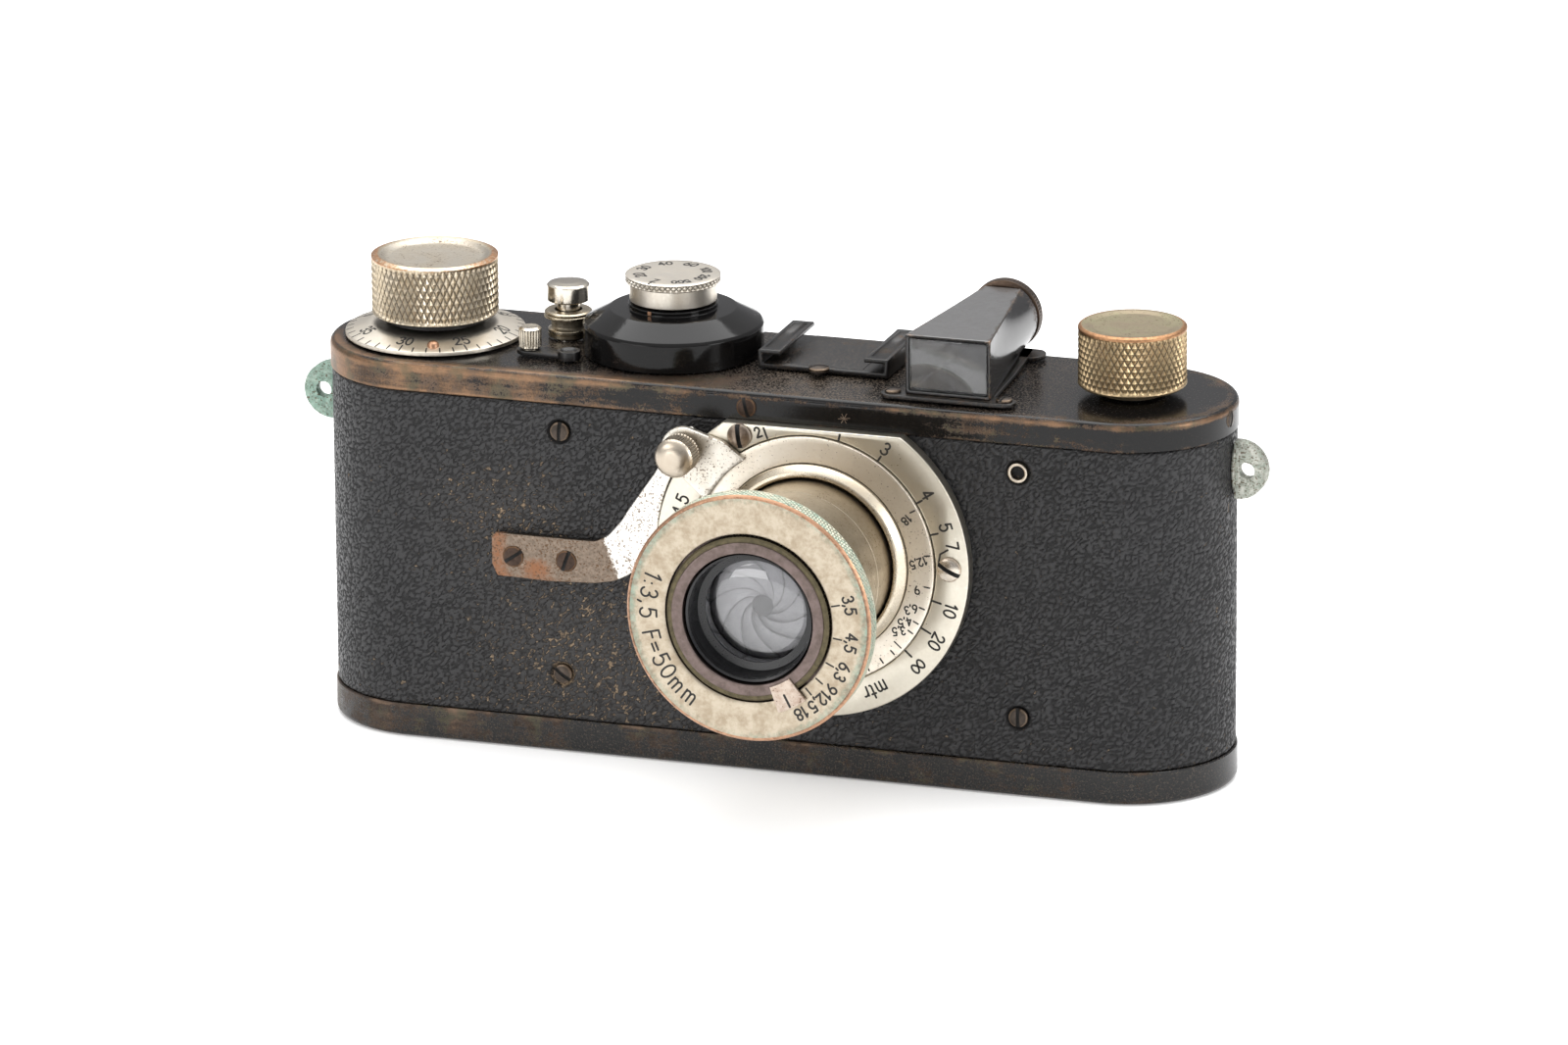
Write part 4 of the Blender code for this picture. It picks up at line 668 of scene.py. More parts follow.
class Engraver:
    def __init__(self, surface, place, width=0.13, mat=0, proud=0.012):
        self.shape, self.surface, self.place, self.width, self.mat, self.k, self.proud = Shape(), surface, place, width, mat, 0, proud

    def line(self, pts, width=None):
        self.k += 1
        ribbon(self.shape, pts, width or self.width, self.surface, self.place, self.proud + 0.0007 * (self.k % 9), self.mat)

    def tick(self, angle, r0, r1, width=None):
        c, s = math.cos(rad(angle)), math.sin(rad(angle))
        self.line([(r0 * c, r0 * s), (r1 * c, r1 * s)], width)

    def text(self, words, height, x, y, turn, centred=True, gap=0.16):
        """turn is the direction the line of figures runs in, in degrees; x, y is its middle."""
        total = sum(GLYPHS[c][0] + gap for c in words) - gap
        at = -total / 2 if centred else 0.0
        c, s = math.cos(rad(turn)), math.sin(rad(turn))
        for ch in words:
            adv, strokes = GLYPHS[ch]
            for stroke in strokes:
                pts = [((px + at) * height, (py - 0.5) * height) for px, py in stroke]
                self.line([(x + a * c - b * s, y + a * s + b * c) for a, b in pts])
            at += adv + gap

    def curved(self, words, height, r, angle, outward, gap=0.16):
        """Figures along a circle of radius r at their middle height, starting from the middle at angle."""
        total = sum(GLYPHS[c][0] + gap for c in words) - gap
        at = -total / 2
        sign = -1 if outward else 1
        for ch in words:
            adv, strokes = GLYPHS[ch]
            mid = at + adv / 2
            a = angle + sign * math.degrees(mid * height / r)
            turn = a - 90 if outward else a + 90
            c, s = math.cos(rad(turn)), math.sin(rad(turn))
            x, y = r * math.cos(rad(a)), r * math.sin(rad(a))
            for stroke in strokes:
                pts = [((px - adv / 2) * height, (py - 0.5) * height) for px, py in stroke]
                self.line([(x + p * c - q * s, y + p * s + q * c) for p, q in pts])
            at += adv + gap

    def done(self, name, body, mat="ink"):
        return self.shape.done(name, [mat], body, None, (), merge=0)


def noise1(x, seed=0.0):
    """Smooth repeatable wobble between -1 and 1."""
    return 0.5 * np.sin(1.7 * x + seed) + 0.3 * np.sin(3.9 * x + 2.1 * seed + 1) + 0.2 * np.sin(8.3 * x + 0.7 * seed + 2)


def gauss(x, at, wide):
    return np.exp(-(((x - at) / wide) ** 2))


def smooth(x, a, b):
    t = np.clip((np.asarray(x, float) - a) / (b - a), 0, 1)
    return t * t * (3 - 2 * t)


# ------------------------------------------------------------------ body, covering and plates
for names, look in (
    (("body_shell", "helicoid_sleeve", "take_up_spool", "wind_gear", "sprocket_gear", "curtain_roller"), "brass"),
    (("wind_shaft", "film_sprocket", "shutter_drum", "shutter_crate", "rewind_fork"), "steel"),
    (("pressure_plate",), "black"),
    (("shutter_curtain",), "cloth"),
    (("middle_element", "rear_doublet"), "glass"),
    (("tripod_bush",), "nickel_under"),
):
    for node in names:
        part = NODES[node]
        if not part.material_slots:
            part.data.materials.append(M[look])
        for s in part.material_slots:
            s.material = M[look]

BODY_SCREWS = [(-27.82, 47.19), (-27.82, 11.44), (39.49, 11.44)]
EYELET = (39.49, 47.19)
R_OUT, Z0, Z1 = 14.96, 4.87, 51.16
ROUND = 4 * HALF + TAU * 14.95


def along(s):
    """Middle line point and outward direction at distance s round the body from the middle of the front."""
    s = (np.asarray(s, float) + ROUND / 2) % ROUND - ROUND / 2
    side = np.sign(s) + (s == 0)
    q = np.abs(s)
    a = np.clip((q - HALF) / 14.95, 0, math.pi)
    cx = np.where(q <= HALF, q, np.where(q <= HALF + math.pi * 14.95, HALF, 2 * HALF + math.pi * 14.95 - q))
    return side * cx, side * np.sin(a), -np.cos(a)


def pebbles(s, z):
    """Grain of the covering: 1 on a pebble, 0 in the crease between two. It repeats once round the body."""
    nx, nz = 330, 70
    cell_s, cell_z = ROUND / nx, 0.74
    rng = np.random.default_rng(7)
    jitter = rng.random((nx, nz, 2)) * 0.9 + 0.05
    size = rng.random((nx, nz)) * 0.25
    ws = s + 0.35 * np.sin(z * 1.3 + np.sin(s * TAU * 31 / ROUND) * 1.5) + 0.2 * np.sin(z * 2.9 + 1)
    wz = z + 0.3 * np.sin(s * TAU * 41 / ROUND + 0.7 * z) + 0.2 * np.sin(s * TAU * 97 / ROUND + 2)
    cs, cz = np.floor(ws / cell_s).astype(int), np.floor(wz / cell_z).astype(int)
    f1, f2 = np.full(s.shape, 9.0), np.full(s.shape, 9.0)
    for di in (-1, 0, 1):
        for dj in (-1, 0, 1):
            i, j = cs + di, cz + dj
            p = jitter[i % nx, j % nz]
            d = np.hypot(ws / cell_s - i - p[..., 0], wz / cell_z - j - p[..., 1]) + size[i % nx, j % nz]
            f2 = np.minimum(f2, np.maximum(f1, d))
            f1 = np.minimum(f1, d)
    return smooth(f2 - f1, 0.0, 0.55)


def covering(name, s0, s1, step):
    cols, rows = int((s1 - s0) / step) + 1, int((Z1 - Z0) / step) + 1
    s, z = np.meshgrid(np.linspace(s0, s1, cols), np.linspace(Z0, Z1, rows))
    cx, dx, dy = along(s)
    grain = pebbles(s, z)
    soft = 0.55 + 0.45 * smooth(np.sin(s * TAU * 5 / ROUND + z * 0.07) + np.sin(z * 0.21 + 2 + s * TAU * 3 / ROUND), -1.2, 1.2)
    soft = soft * (0.62 + 0.38 * smooth(cx, -20, 10))
    phase = 3.1 * z + 1.4 * np.sin(s * TAU * 34 / ROUND + 0.4 * z) + 0.9 * np.sin(s * TAU * 83 / ROUND - 0.7 * z)
    ripple = np.exp(-((np.sin(phase) / 0.35) ** 2)) * (smooth(cx, -5, 22) * (0.45 + 0.55 * smooth(40 - z, 0, 12)) + 0.8 * smooth(-cx, 52, 62))
    sink = 0.17 * (1 - grain) * soft + 0.11 * ripple
    sink += 0.16 * np.clip(1 - (z - Z0) / 0.35, 0, 1) ** 2 + 0.16 * np.clip(1 - (Z1 - z) / 0.35, 0, 1) ** 2
    x0, y0 = cx + R_OUT * dx, R_OUT * dy
    # low marks the creases between pebbles and the ripples; the covering material darkens them as painted shade and
    # puts tan dirt in the deepest.
    low = np.maximum(1 - grain, 0.85 * ripple)
    for x, h in BODY_SCREWS + [EYELET]:
        d = np.where(y0 < 0, np.hypot(x0 - x, z - h), 99)
        sink = np.maximum(sink, 0.72 * (1 - smooth(d, 1.42, 1.95)))
        # Painted shade: a dark ring in low round each screw.
        low = np.maximum(low, 1.6 * (1 - smooth(d, 1.4, 2.1)))
    around = np.where(y0 < 0, np.hypot(x0 - LX, z - LZ), 99)
    x, y = cx + (R_OUT - sink) * dx, (R_OUT - sink) * dy
    # rubbed on the left of the front, beside the catch, and along the edges
    wear = 0.9 * gauss(x, -24, 17) * gauss(z, 15, 12) * (y < 0) + 0.7 * gauss(x, -36, 12) * gauss(z, 35, 8) * (y < 0)
    wear = wear + 0.2 * gauss(np.abs(x), 66.3, 1.6) * gauss(z, 30, 22) * smooth(-y, -6, 4) + 0.2 * smooth(12 - z, 0, 6)
    wear = np.clip(wear, 0, 1)
    pts = np.stack([x, y, z], -1)
    shape = Shape()
    hole = around < 16.9
    skip = hole[:-1, :-1] & hole[1:, 1:]
    shape.put(pts, grid_faces(rows, cols, False, skip=skip), 0, wear, 0.0, low)
    for end in (0, -1):
        edge = pts[end]
        inner = np.stack([cx[end] + 14.2 * dx[end], 14.2 * dy[end], z[end]], -1)
        shape.put(np.stack([edge, inner]), grid_faces(2, cols, False), 0, 0.2, 0.0, 0.5)
    return shape.done(name, "leather", "body", "leather", "leather_cover", smooth=80, merge=1e-4, outward=False)


covering("covering_front", -75.2, 75.2, 0.27)
covering("covering_back", 74.6, ROUND - 74.6, 0.36)


def rod(r, z0, z1, place, n=40):
    return lathe(Shape(), [(0, z0), (r, z0), (r, z1), (0, z1)], n, place)


def top_wear(x, y, z, r):
    wob = noise1(x * 0.35, 1.0)
    facing = smooth(-y, -4, 8)
    band = smooth(54.9 - z, -0.4, 0.2)
    left = 1 - smooth(x, -34, -12)
    w = band * facing * (0.04 + 0.6 * left + 0.3 * gauss(x, -12, 12) + 0.08 * wob + 0.56 * gauss(x, 33, 9) * gauss(z, 53.0, 1.2) + 0.6 * gauss(x, 48, 5) * gauss(z, 52.3, 0.9))
    w = w + band * smooth(-x, 56, 64) * (1 - 0.4 * facing) * 0.42 + band * smooth(x, 58, 65) * 0.12
    edge = gauss(z, 54.8, 0.5) * (r > 13.5)
    w = w + edge * (0.36 + 0.26 * left * facing + 0.12 * wob + 0.42 * facing * smooth(x, 14, 28) + 0.2 * smooth(x, 60, 66))
    w = w + gauss(z, 51.3, 0.28) * facing * (0.3 + 0.16 * wob + 0.15 * gauss(x, 30, 25))
    w = w + smooth(z, 54.6, 55.2) * gauss(r, 14.4, 1.1) * facing * (1 - smooth(x, -24, 0)) * (0.36 + 0.08 * wob)
    deck = (z > 55.3) * (0.1 + 0.3 * gauss(r, 14.0, 1.5) * (0.5 + 0.5 * left) + 0.34 * gauss(x, -8, 12) * gauss(y, -10, 5) + 0.16 * gauss(x, 5, 16) * gauss(y, -2, 9) + 0.2 * gauss(x, -30, 7) * gauss(y, -6, 6) + 0.34 * gauss(x, -17, 12) * gauss(y, -12.5, 2.5) + 0.25 * gauss(x, 60, 8) * gauss(r, 13.5, 2))
    return np.clip(w + deck, 0, 1)


def deck_grime(x, y, z, r):
    return (z > 55.3) * np.clip(0.15 + 0.85 * gauss(x, 8, 18) + 0.7 * gauss(x, -32, 9) * gauss(y, -3, 9) + 0.5 * gauss(x, 38, 9), 0, 1)


top_profile = rounded([(14.2, 51.26), (15.0, 51.26), (15.16, 51.42), (15.16, 55.42, 0.9), (13.2, 55.42)], 6)
top_profile = finer(top_profile, 0.45) + [(13.2 - 0.94 * i, 55.42) for i in range(1, 14)] + [(0.0, 55.42), (0.0, 54.42), (14.2, 54.42)]
top = Shape()
stadium(top, top_profile, 72, 150, top_wear, deck_grime, True, skip=lambda x, y, z: np.repeat([[abs(top_profile[j][0]) < 1e-9 and abs(top_profile[(j + 1) % len(top_profile)][0]) < 1e-9] for j in range(len(top_profile))], x.shape[1], 1))
top = top.done("top_cover", "top", "body", "black_paint", "top_plate", smooth=40, merge=1e-3)
carve(top, rod(2.8, 50, 60, up(*WIND)), rod(2.8, 50, 60, up(*REWIND)), rod(2.4, 50, 60, up(*RELEASE)), rod(2.4, 50, 60, up(*DRUM)), rod(1.0, 50, 60, up(*REVERSE), 20))


def base_wear(x, y, z, r):
    wob = noise1(x * 0.3, 4.0)
    facing = smooth(-y, -6, 6)
    band = smooth(z, 0.3, 1.4)
    w = band * (0.26 + 0.16 * wob + 0.12 * smooth(-x, 10, 50) + 0.1 * facing - 0.3 * smooth(x, 48, 58))
    w = w + gauss(z, 0.45, 0.5) * (0.34 + 0.16 * wob) + gauss(z, 4.6, 0.25) * (0.2 + 0.2 * wob) + 0.12 * smooth(-x, 58, 66)
    under = (z < 0.1) * (0.22 + 0.34 * gauss(r, 14.2, 1.2) + 0.16 * gauss(x, 0, 30) * gauss(y, 0, 9))
    return np.clip(w + under, 0, 1)


base_profile = rounded([(14.2, 4.77), (15.02, 4.77), (15.16, 4.62), (15.16, 0.0, 0.8), (13.3, 0.0)], 5)
base_profile = finer(base_profile, 0.5) + [(13.3 - 0.95 * i, 0.0) for i in range(1, 14)] + [(0.0, 0.0), (0.0, 1.2), (14.2, 1.2)]
base = Shape()
stadium(base, base_profile, 72, 150, base_wear, lambda x, y, z, r: 0.4 + 0.4 * (z < 0.1), True, skip=lambda x, y, z: np.repeat([[abs(base_profile[j][0]) < 1e-9 and abs(base_profile[(j + 1) % len(base_profile)][0]) < 1e-9] for j in range(len(base_profile))], x.shape[1], 1))
base = base.done("base_cover", "base", "base", "brassed_paint", "base_plate", smooth=40, merge=1e-3)
carve(base, rod(8.25, -2, 8, up(*LOCK)), rod(6.9, -2, 8, up(*TRIPOD)))

# ------------------------------------------------------------------ base lock
key_profile = [(0, 2.4), (9.2, 2.4), (9.2, 1.55), (7.9, 1.55), (7.9, 0.05, 0.25), (0, 0.05)]
key = lathe(Shape(), finer(rounded(key_profile, 4), 0.8), 96, up(*LOCK), wear=lambda r, h, t: 0.5 * gauss(h, 0.1, 0.2) * gauss(r, 7.8, 0.5), grime_and_shade=lambda r, h, t: 0.5 * gauss(r, 7.0, 1.0)).done("lock_key", "nickel_under", "base_lock", "nickel", "base_lock_key")
groove = lathe(Shape(), [(5.0, -1), (7.0, -1), (7.0, 1.0), (5.0, 1.0)], 96, up(*LOCK), ring=True)
gv, gf = block((LOCK[0] - 9, 0.9, -2), (LOCK[0] + 9, 12, 3))
carve(key, groove)
plug = slab(arc(0, 0, 7.05, 8, 172, 40) + arc(0, 0, 4.95, 172, 8, 40), 0.05, 1.05, 0.0, up(*LOCK))
Shape().put(*plug).done("lock_key_face", "nickel_under", "base_lock", "nickel", "base_lock_key")
bail = rounded([(0.28, 0.1, 0.16), (0.28, 0.8, 0.16), (-0.28, 0.8, 0.16), (-0.28, 0.1, 0.16)], 3, True)
rows = [[(*(np.array([math.cos(a), math.sin(a)]) * (6.0 + 2.0 * u)), z) for u, z in bail] for a in [math.pi + math.pi * i / 48 for i in range(49)]]
pts = np.array(rows)
wire = Shape()
wire.put(up(*LOCK)(pts[..., 0], pts[..., 1], pts[..., 2]), grid_faces(49, len(bail)), 0, 0.15)
for end in (0, 48):
    wire.f.append(tuple(end * len(bail) + i for i in range(len(bail))))
    wire.mat.append(0)
wire.done("lock_bail", "nickel_under", "base_bail", "nickel", "base_lock_bail")


# ------------------------------------------------------------------ screws
def screw(name, body, node, r, top_z, seat, stem, end, place, turn, look="screw", dome=0.3, slot=0.48, deep=0.42, wear=0.25):
    prof = [((r - 0.1) * k / 7, top_z - dome * (k / 7) ** 2) for k in range(8)] + [(r, top_z - dome - 0.1), (r, seat), (stem, seat), (stem, end), (0, end)]
    head = lathe(Shape(), prof, 36, place, wear=lambda rr, h, t: wear + 0.5 * gauss(rr, r, 0.25) * (h > seat + 0.02), grime_and_shade=lambda rr, h, t: 0.6 * (h < seat + 0.25) + 0.0 * rr)
    head = head.done(name, [look, "slot"], body, "dark_steel", node)
    c, s = math.cos(rad(turn)), math.sin(rad(turn))
    cut = Shape().put(*block((-r - 1, -slot / 2, top_z - deep), (r + 1, slot / 2, top_z + 1), lambda u, v, w: place(u * c - v * s, u * s + v * c, w)), 1, 0.0, 1.0)
    return carve(head, cut)


for label, (x, z), turn in zip(("upper_left", "lower_left", "lower_right"), BODY_SCREWS, (86, -35, 90)):
    screw("screw_" + label, "body", "body_screw_" + label, 1.38, 15.2, 14.2, 0.65, 11.6, front(x, z), turn, dome=0.22)
lathe(Shape(), rounded([(1.0, 11.9), (1.42, 11.9), (1.42, 15.2, 0.12), (1.0, 15.2, 0.15)], 3, True), 40, front(*EYELET), True).done("bush_right", "knob", "body", "nickel", "test_bush")
screw("screw_front", "body", "top_screw_front", 1.45, 15.72, 15.2, 0.5, 14.5, front(0, 53.3), 105, "screw_rust", dome=0.3, wear=0.3)
flange_at = {"top": 121.4, "right": 1.2, "bottom": 240.0}
for label, turn, look in (("top", 98, "screw_brown"), ("right", -27, "screw_bright"), ("bottom", 20, "screw_bright")):
    a = rad(flange_at[label])
    screw("screw_flange_" + label, "body", "flange_screw_" + label, 1.75, 18.4, 17.3, 0.7, 15.4, front(LX + 20.1 * math.cos(a), LZ + 20.1 * math.sin(a)), turn, look, dome=0.4, slot=0.62, deep=0.6)
for label, (x, z), turn in zip(("outer", "inner"), [(-34.48, 28.65), (-26.58, 28.66)], (35, 70)):
    screw("screw_catch_" + label, "body", "catch_screw_" + label, 1.55, 16.72, 16.1, 0.65, 15.4, front(x, z), turn, "screw_rust", dome=0.3)
screw("screw_shoe", "body", "shoe_screw", 1.5, H + 1.75, H + 0.9, 0.5, H + 0.35, up(7.3, -4.9), 25, dome=0.3)
for label, x, turn in (("left", 20.3, 40), ("right", 36.5, 75)):
    screw("screw_finder_" + label, "body", "finder_screw_" + label, 1.15, H + 1.5, H + 0.85, 0.5, H + 0.6, up(x, -11.6), turn, dome=0.22, slot=0.36)
side = rad(-7.5)
screw("screw_band_end", "body", (), 1.25, 15.42, 15.0, 0.6, 14.6, lambda u, v, w: np.stack([HALF + w * math.cos(side) + u * -math.sin(side), w * math.sin(side) + u * math.cos(side), 53.6 + v], -1), 80, dome=0.2)

# ------------------------------------------------------------------ strap lugs
for label, sgn in (("left", -1), ("right", 1)):
    start = math.degrees(math.acos((66.6 - 67.15) / 4.15))
    ear = [(sgn * x, y) for x, y in arc(67.15, 0, 4.15, -start, start, 48)]
    eye = [(sgn * x, y) for x, y in arc(68.4, 0, 1.15, 0, 350, 35)]
    lug = Shape()
    v, f = slab(ear, -0.85, 0.85, 0.4, front(0, 45.9), [eye], 4, 40)
    rng = np.random.default_rng(3 + sgn)
    lug.put(v, f, 0, 0.2 + 0.25 * rng.random(len(v)), 0.25 + 0.3 * rng.random(len(v)))
    lug.done("lug_" + label, "lug_" + label, "body", "pitted_nickel", "strap_lug_" + label)
    foot = slab(arc(0, 0, 2.1, 0, 350, 35), 0, 0.5, 0.2, lambda u, v, w, q=sgn: np.stack([q * (66.25 + w), u * 0.62, 45.9 + v * 1.55], -1))
    Shape().put(*foot, 0, 0.1, 0.5).done("lug_foot_" + label, "lug_" + label, "body", "pitted_nickel", "strap_lug_" + label)

# ------------------------------------------------------------------ lens flange and its scale
chord = math.degrees(math.acos((51.53 - LZ) / 22.87))
ring = arc(0, 0, 22.87, 90 - chord, -270 + chord, 180)
flange = Shape()
v, f = slab(ring, 15.3, 17.54, 0.22, front(), [arc(0, 0, 18.05, 0, 357, 119)], 3)
flange.put(v, f, 0, 0.0, 0.0)
flange.done("flange", "flange", "body", "nickel", "lens_flange")
lathe(Shape(), finer(rounded([(16.2, 12.3), (17.0, 12.3), (17.0, 15.3), (18.1, 15.3), (18.1, 16.1), (16.2, 16.1)], 2, True), 1, True), 96, front(), True).done("flange_back", "flange", "body", "nickel", "lens_flange")

flat = lambda level: (lambda u, v: np.full(np.shape(u), level))
e = Engraver(flat(17.54), front(), 0.3)
e.curved("1,5", 1.75, 20.3, 161.5, True)
e.tick(161.5, 18.3, 18.9)
rim_at = lambda a: (51.25 - LZ) / math.sin(rad(a))
e.curved("2", 1.4, rim_at(113.6) - 0.75, 113.6, True)
e.tick(110.6, 18.25, rim_at(110.6))
e.tick(77.3, 18.25, rim_at(77.3))
e.tick(57.5, 18.2, 18.9)
e.curved("3", 1.8, 20.25, 57.5, True)
e.tick(32.0, 18.2, 19.0)
e.curved("4", 1.75, 20.2, 33.0, True)
e.tick(16.6, 18.2, 19.2)
e.curved("5", 1.75, 20.6, 18.4, True)
e.curved("7", 1.7, 20.9, 10.6, True)
c7 = [(r * math.cos(rad(a)), r * math.sin(rad(a))) for r, a in ((20.1, 9.2), (18.9, 7.6), (18.45, 1.2))]
e.line(c7)
e.tick(-14.0, 18.2, 19.4)
e.curved("10", 1.75, 21.0, -15.6, True)
e.tick(-28.0, 18.2, 19.6)
e.curved("20", 1.75, 20.9, -29.6, True)
e.tick(-41.5, 18.2, 19.4)
e.curved("o", 2.2, 21.0, -42.6, True)
e.curved("mtr", 2.1, 20.6, -63.4, True, 0.1)
e.done("scale_distance", "body")

# ------------------------------------------------------------------ infinity catch
catch = [(-37.2, 31.9, 0.5), (-37.73, 31.2, 0.3), (-37.73, 27.3, 0.3), (-36.9, 25.6, 0.5), (-28.68, 25.42), (-22.32, 25.74, 2.0), (-19.44, 26.3, 4), (-17.0, 27.6, 4), (-14.6, 30.4, 3)]
catch += arc(LX, LZ, 23.25, 181.0, 137.0, 24) + [(-7.6, 50.2, 0.6), (-10.2, 49.2, 1.4), (-13.13, 43.12, 6), (-17.28, 37.1, 6), (-18.32, 35.39, 3), (-20.38, 32.97, 3), (-22.25, 31.95, 2), (-25.0, 31.9)]
v, f = slab(rounded(catch, 5, True), 15.3, 16.2, 0.2, front(0, 0), (), 3, cell=0.7)
x, z = v[:, 0], v[:, 2]
piece = Shape().put(v, f, 0, 0.9 * (1 - smooth(x + 0.4 * (z - 28), -20.5, -18.0)) + 0.1, 0.95 * gauss(x, -31.0, 2.4) * gauss(z, 27.2, 1.6) + 0.75 * gauss(x, -36.8, 1.6) + 0.3 * (x < -20) * gauss(z, 25.6, 0.6))
piece.done("catch_plate", "catch", "body", "worn_nickel", "infinity_catch")
# ------------------------------------------------------------------ focusing mount
lathe(Shape(), finer(rounded([(14.2, 18.03, 0.12), (14.2, 16.4), (17.93, 16.4), (17.93, 18.03, 0.12)], 4, True), 0.7, True), 160, front(), True, wear=lambda r, h, t: 0.3 * gauss(r, 14.3, 0.2) * (h > 17.6), grime_and_shade=lambda r, h, t: 0.35 * gauss(r, 17.9, 0.15)).done("focus_scale_ring", "focus_face", "focus", "nickel", "focus_ring")
knob_angle = math.degrees(math.atan2(LEVER_KNOB[1] - LZ, LEVER_KNOB[0] - LX))
kx, ky = LEVER_KNOB[0] - LX, LEVER_KNOB[1] - LZ
lobe = arc(0, 0, 16.9, knob_angle + 12, knob_angle - 17, 24) + [(-10.2, 14.6, 0.4), (-12.5, 16.35, 1.2)] + arc(kx, ky, 3.3, 78, 212, 20)
v, f = slab(rounded(lobe, 4, True), 17.85, 18.95, 0.2, front(), [arc(kx, ky, 0.9, 0, 340, 17)], 3, cell=0.6)
Shape().put(v, f, 0, 0.12, 0.1 + 0.55 * gauss(np.hypot(v[:, 0] - LX, v[:, 2] - LZ), 16.9, 0.5)).done("focus_lever", "lobe", "focus", "nickel", "focus_ring")
e = Engraver(flat(18.03), front(), 0.23, proud=0.008)
for word, a, turn in (("18", 27.2, 225), ("12,5", 4.0, 203), ("9", -10.6, 200), ("6,3", -21.6, 196), ("4,5", -29.4, 194), ("3,5", -35.4, 190)):
    rr = 15.75
    e.text(word, 1.14, rr * math.cos(rad(a)), rr * math.sin(rad(a)), turn, gap=0.14)
for a in (29.7, 7.5, -7.9, -18.7, -26.5, -32.0, -46, -53, -61, -73, -88, -111):
    e.tick(a, 16.75, 17.5)
e.tick(-41.3, 16.2, 17.5, 0.2)
e.done("scale_depth", "focus")

lathe(Shape(), finer(rounded([(12.45, 19.35), (12.75, 19.6, 0.15), (13.2, 19.52, 0.4), (14.1, 18.5, 0.3), (14.1, 12.6), (12.45, 12.6)], 4, True), 0.6, True), 160, front(), True, wear=lambda r, h, t: 0.35 * gauss(h, 19.5, 0.25), grime_and_shade=lambda r, h, t: 0.5 * gauss(r, 14.1, 0.12) * (h < 18.4)).done("collar_mount", "mount", "focus", "nickel", "mount_collar")
tube = [(12.1, 42.3), (12.1, 25.12), (12.03, 25.06), (12.03, 24.94), (12.1, 24.88), (12.1, 11.5), (11.3, 11.5), (11.3, 42.3)]
lathe(Shape(), finer(tube, 1.0, True), 144, front(), True, wear=lambda r, h, t: 0.1 * gauss(h, 33, 6), grime_and_shade=lambda r, h, t: 0.25 * gauss(h, 21, 1.5) + 0.6 * (np.abs(h - 25) < 0.08)).done("tube", "tube", "lens", "nickel", "lens_tube")

knob = [(0, 24.1), (0.9, 24.08), (1.7, 23.93), (2.3, 23.62), (2.62, 23.35), (2.8, 23.1)] + [(2.8, 23.1 - 2.9 * i / 12) for i in range(1, 13)] + [(2.65, 20.08), (2.3, 20.05), (0.5, 20.05), (0.5, 17.3), (0, 17.3)]
lathe(Shape(), knob, 312, front(*LEVER_KNOB), radial=knurl(39, 2.9, 20.2, 23.1, 2.8, 0.2, "straight", 0.15, fade=0.15), wear=lambda r, h, t: 0.15 * (r > 2.7) + 0 * h).done("lever_knob", "knob", "infinity_lock", "nickel", "infinity_knob")

# ------------------------------------------------------------------ front ring, aperture and glass
ring_profile = rounded([(9.4, 42.6), (17.2, 42.6, 0.3), (17.65, 43.05, 0.15)], 3) + zone(45.35, 43.15, 0.092, 17.65)[::-1] + rounded([(17.65, 45.42), (17.38, 45.74, 0.12), (17.15, 45.74), (12.3, 45.74), (12.04, 45.6, 0.1), (12.04, 44.3), (9.4, 44.3)], 3)
ring_profile = finer(ring_profile, 0.7, True)
ring_radial = knurl(130, 0.736, 43.15, 45.35, 17.65, 0.17, "diamond", 0.1, fade=0.08)


def ring_mats(r, h):
    return 1 if r > 17.5 and h < 45.4 else 2 if r > 17.2 and h > 45.38 else 3 if r < 12.1 and h < 45.6 else 0


lathe(
    Shape(), ring_profile, 1040, front(), True, radial=ring_radial, mats=ring_mats,
    wear=lambda r, h, t: 0.0 * r + 0.5 * gauss(r, 17.3, 0.16) * (h > 45.5) + 0.16 * (r > 17.5),
    grime_and_shade=lambda r, h, t: np.clip((0.72 + 0.2 * np.sin(2 * t + 2)) * gauss(r, 16.9, 0.6) + 0.35 * gauss(r, 12.2, 0.2), 0, 1) * (h > 45.5),
).done("front_ring_piece", ["face", "rim", "copper", "brown"], "lens", "worn_nickel", "front_ring", smooth=30)

inner = rounded([(9.4, 44.6), (11.0, 44.6), (11.0, 46.2, 0.15), (9.4, 46.2, 0.2)], 3, True)
lathe(Shape(), finer(inner, 0.5, True), 144, front(), True, wear=lambda r, h, t: 0.32 * (h > 46) + 0 * r).done("aperture_ring_piece", "brown", "aperture", "dark_steel", "aperture_ring")
teeth = [(11.0, 44.7)] + [(11.75, 44.7 + 0.1 * i) for i in range(12)] + [(11.5, 46.0), (11.0, 46.0)]
lathe(Shape(), teeth, 480, front(), True, radial=knurl(120, 1.1, 44.7, 45.8, 11.75, 0.16, "straight", 0.2, fade=0.05), wear=lambda r, h, t: 0.35 + 0 * r, grime_and_shade=lambda r, h, t: 0.3 + 0 * r).done("aperture_ring_edge", "milled", "aperture", "dark_steel", "aperture_ring", smooth=30)
tab = arc(0, 0, 9.9, -71, -52, 12) + arc(0, 0, 13.7, -52, -71, 12)
v, f = slab(tab, 46.03, 46.44, 0.1, front(), (), 2)
Shape().put(v, f, 0, 0.0, 0.1).done("aperture_tab", "tab", "aperture", "dark_steel", "aperture_ring")
e = Engraver(flat(46.44), front(), 0.34)
e.tick(-62.5, 11.6, 13.4)
e.done("aperture_index", "aperture")

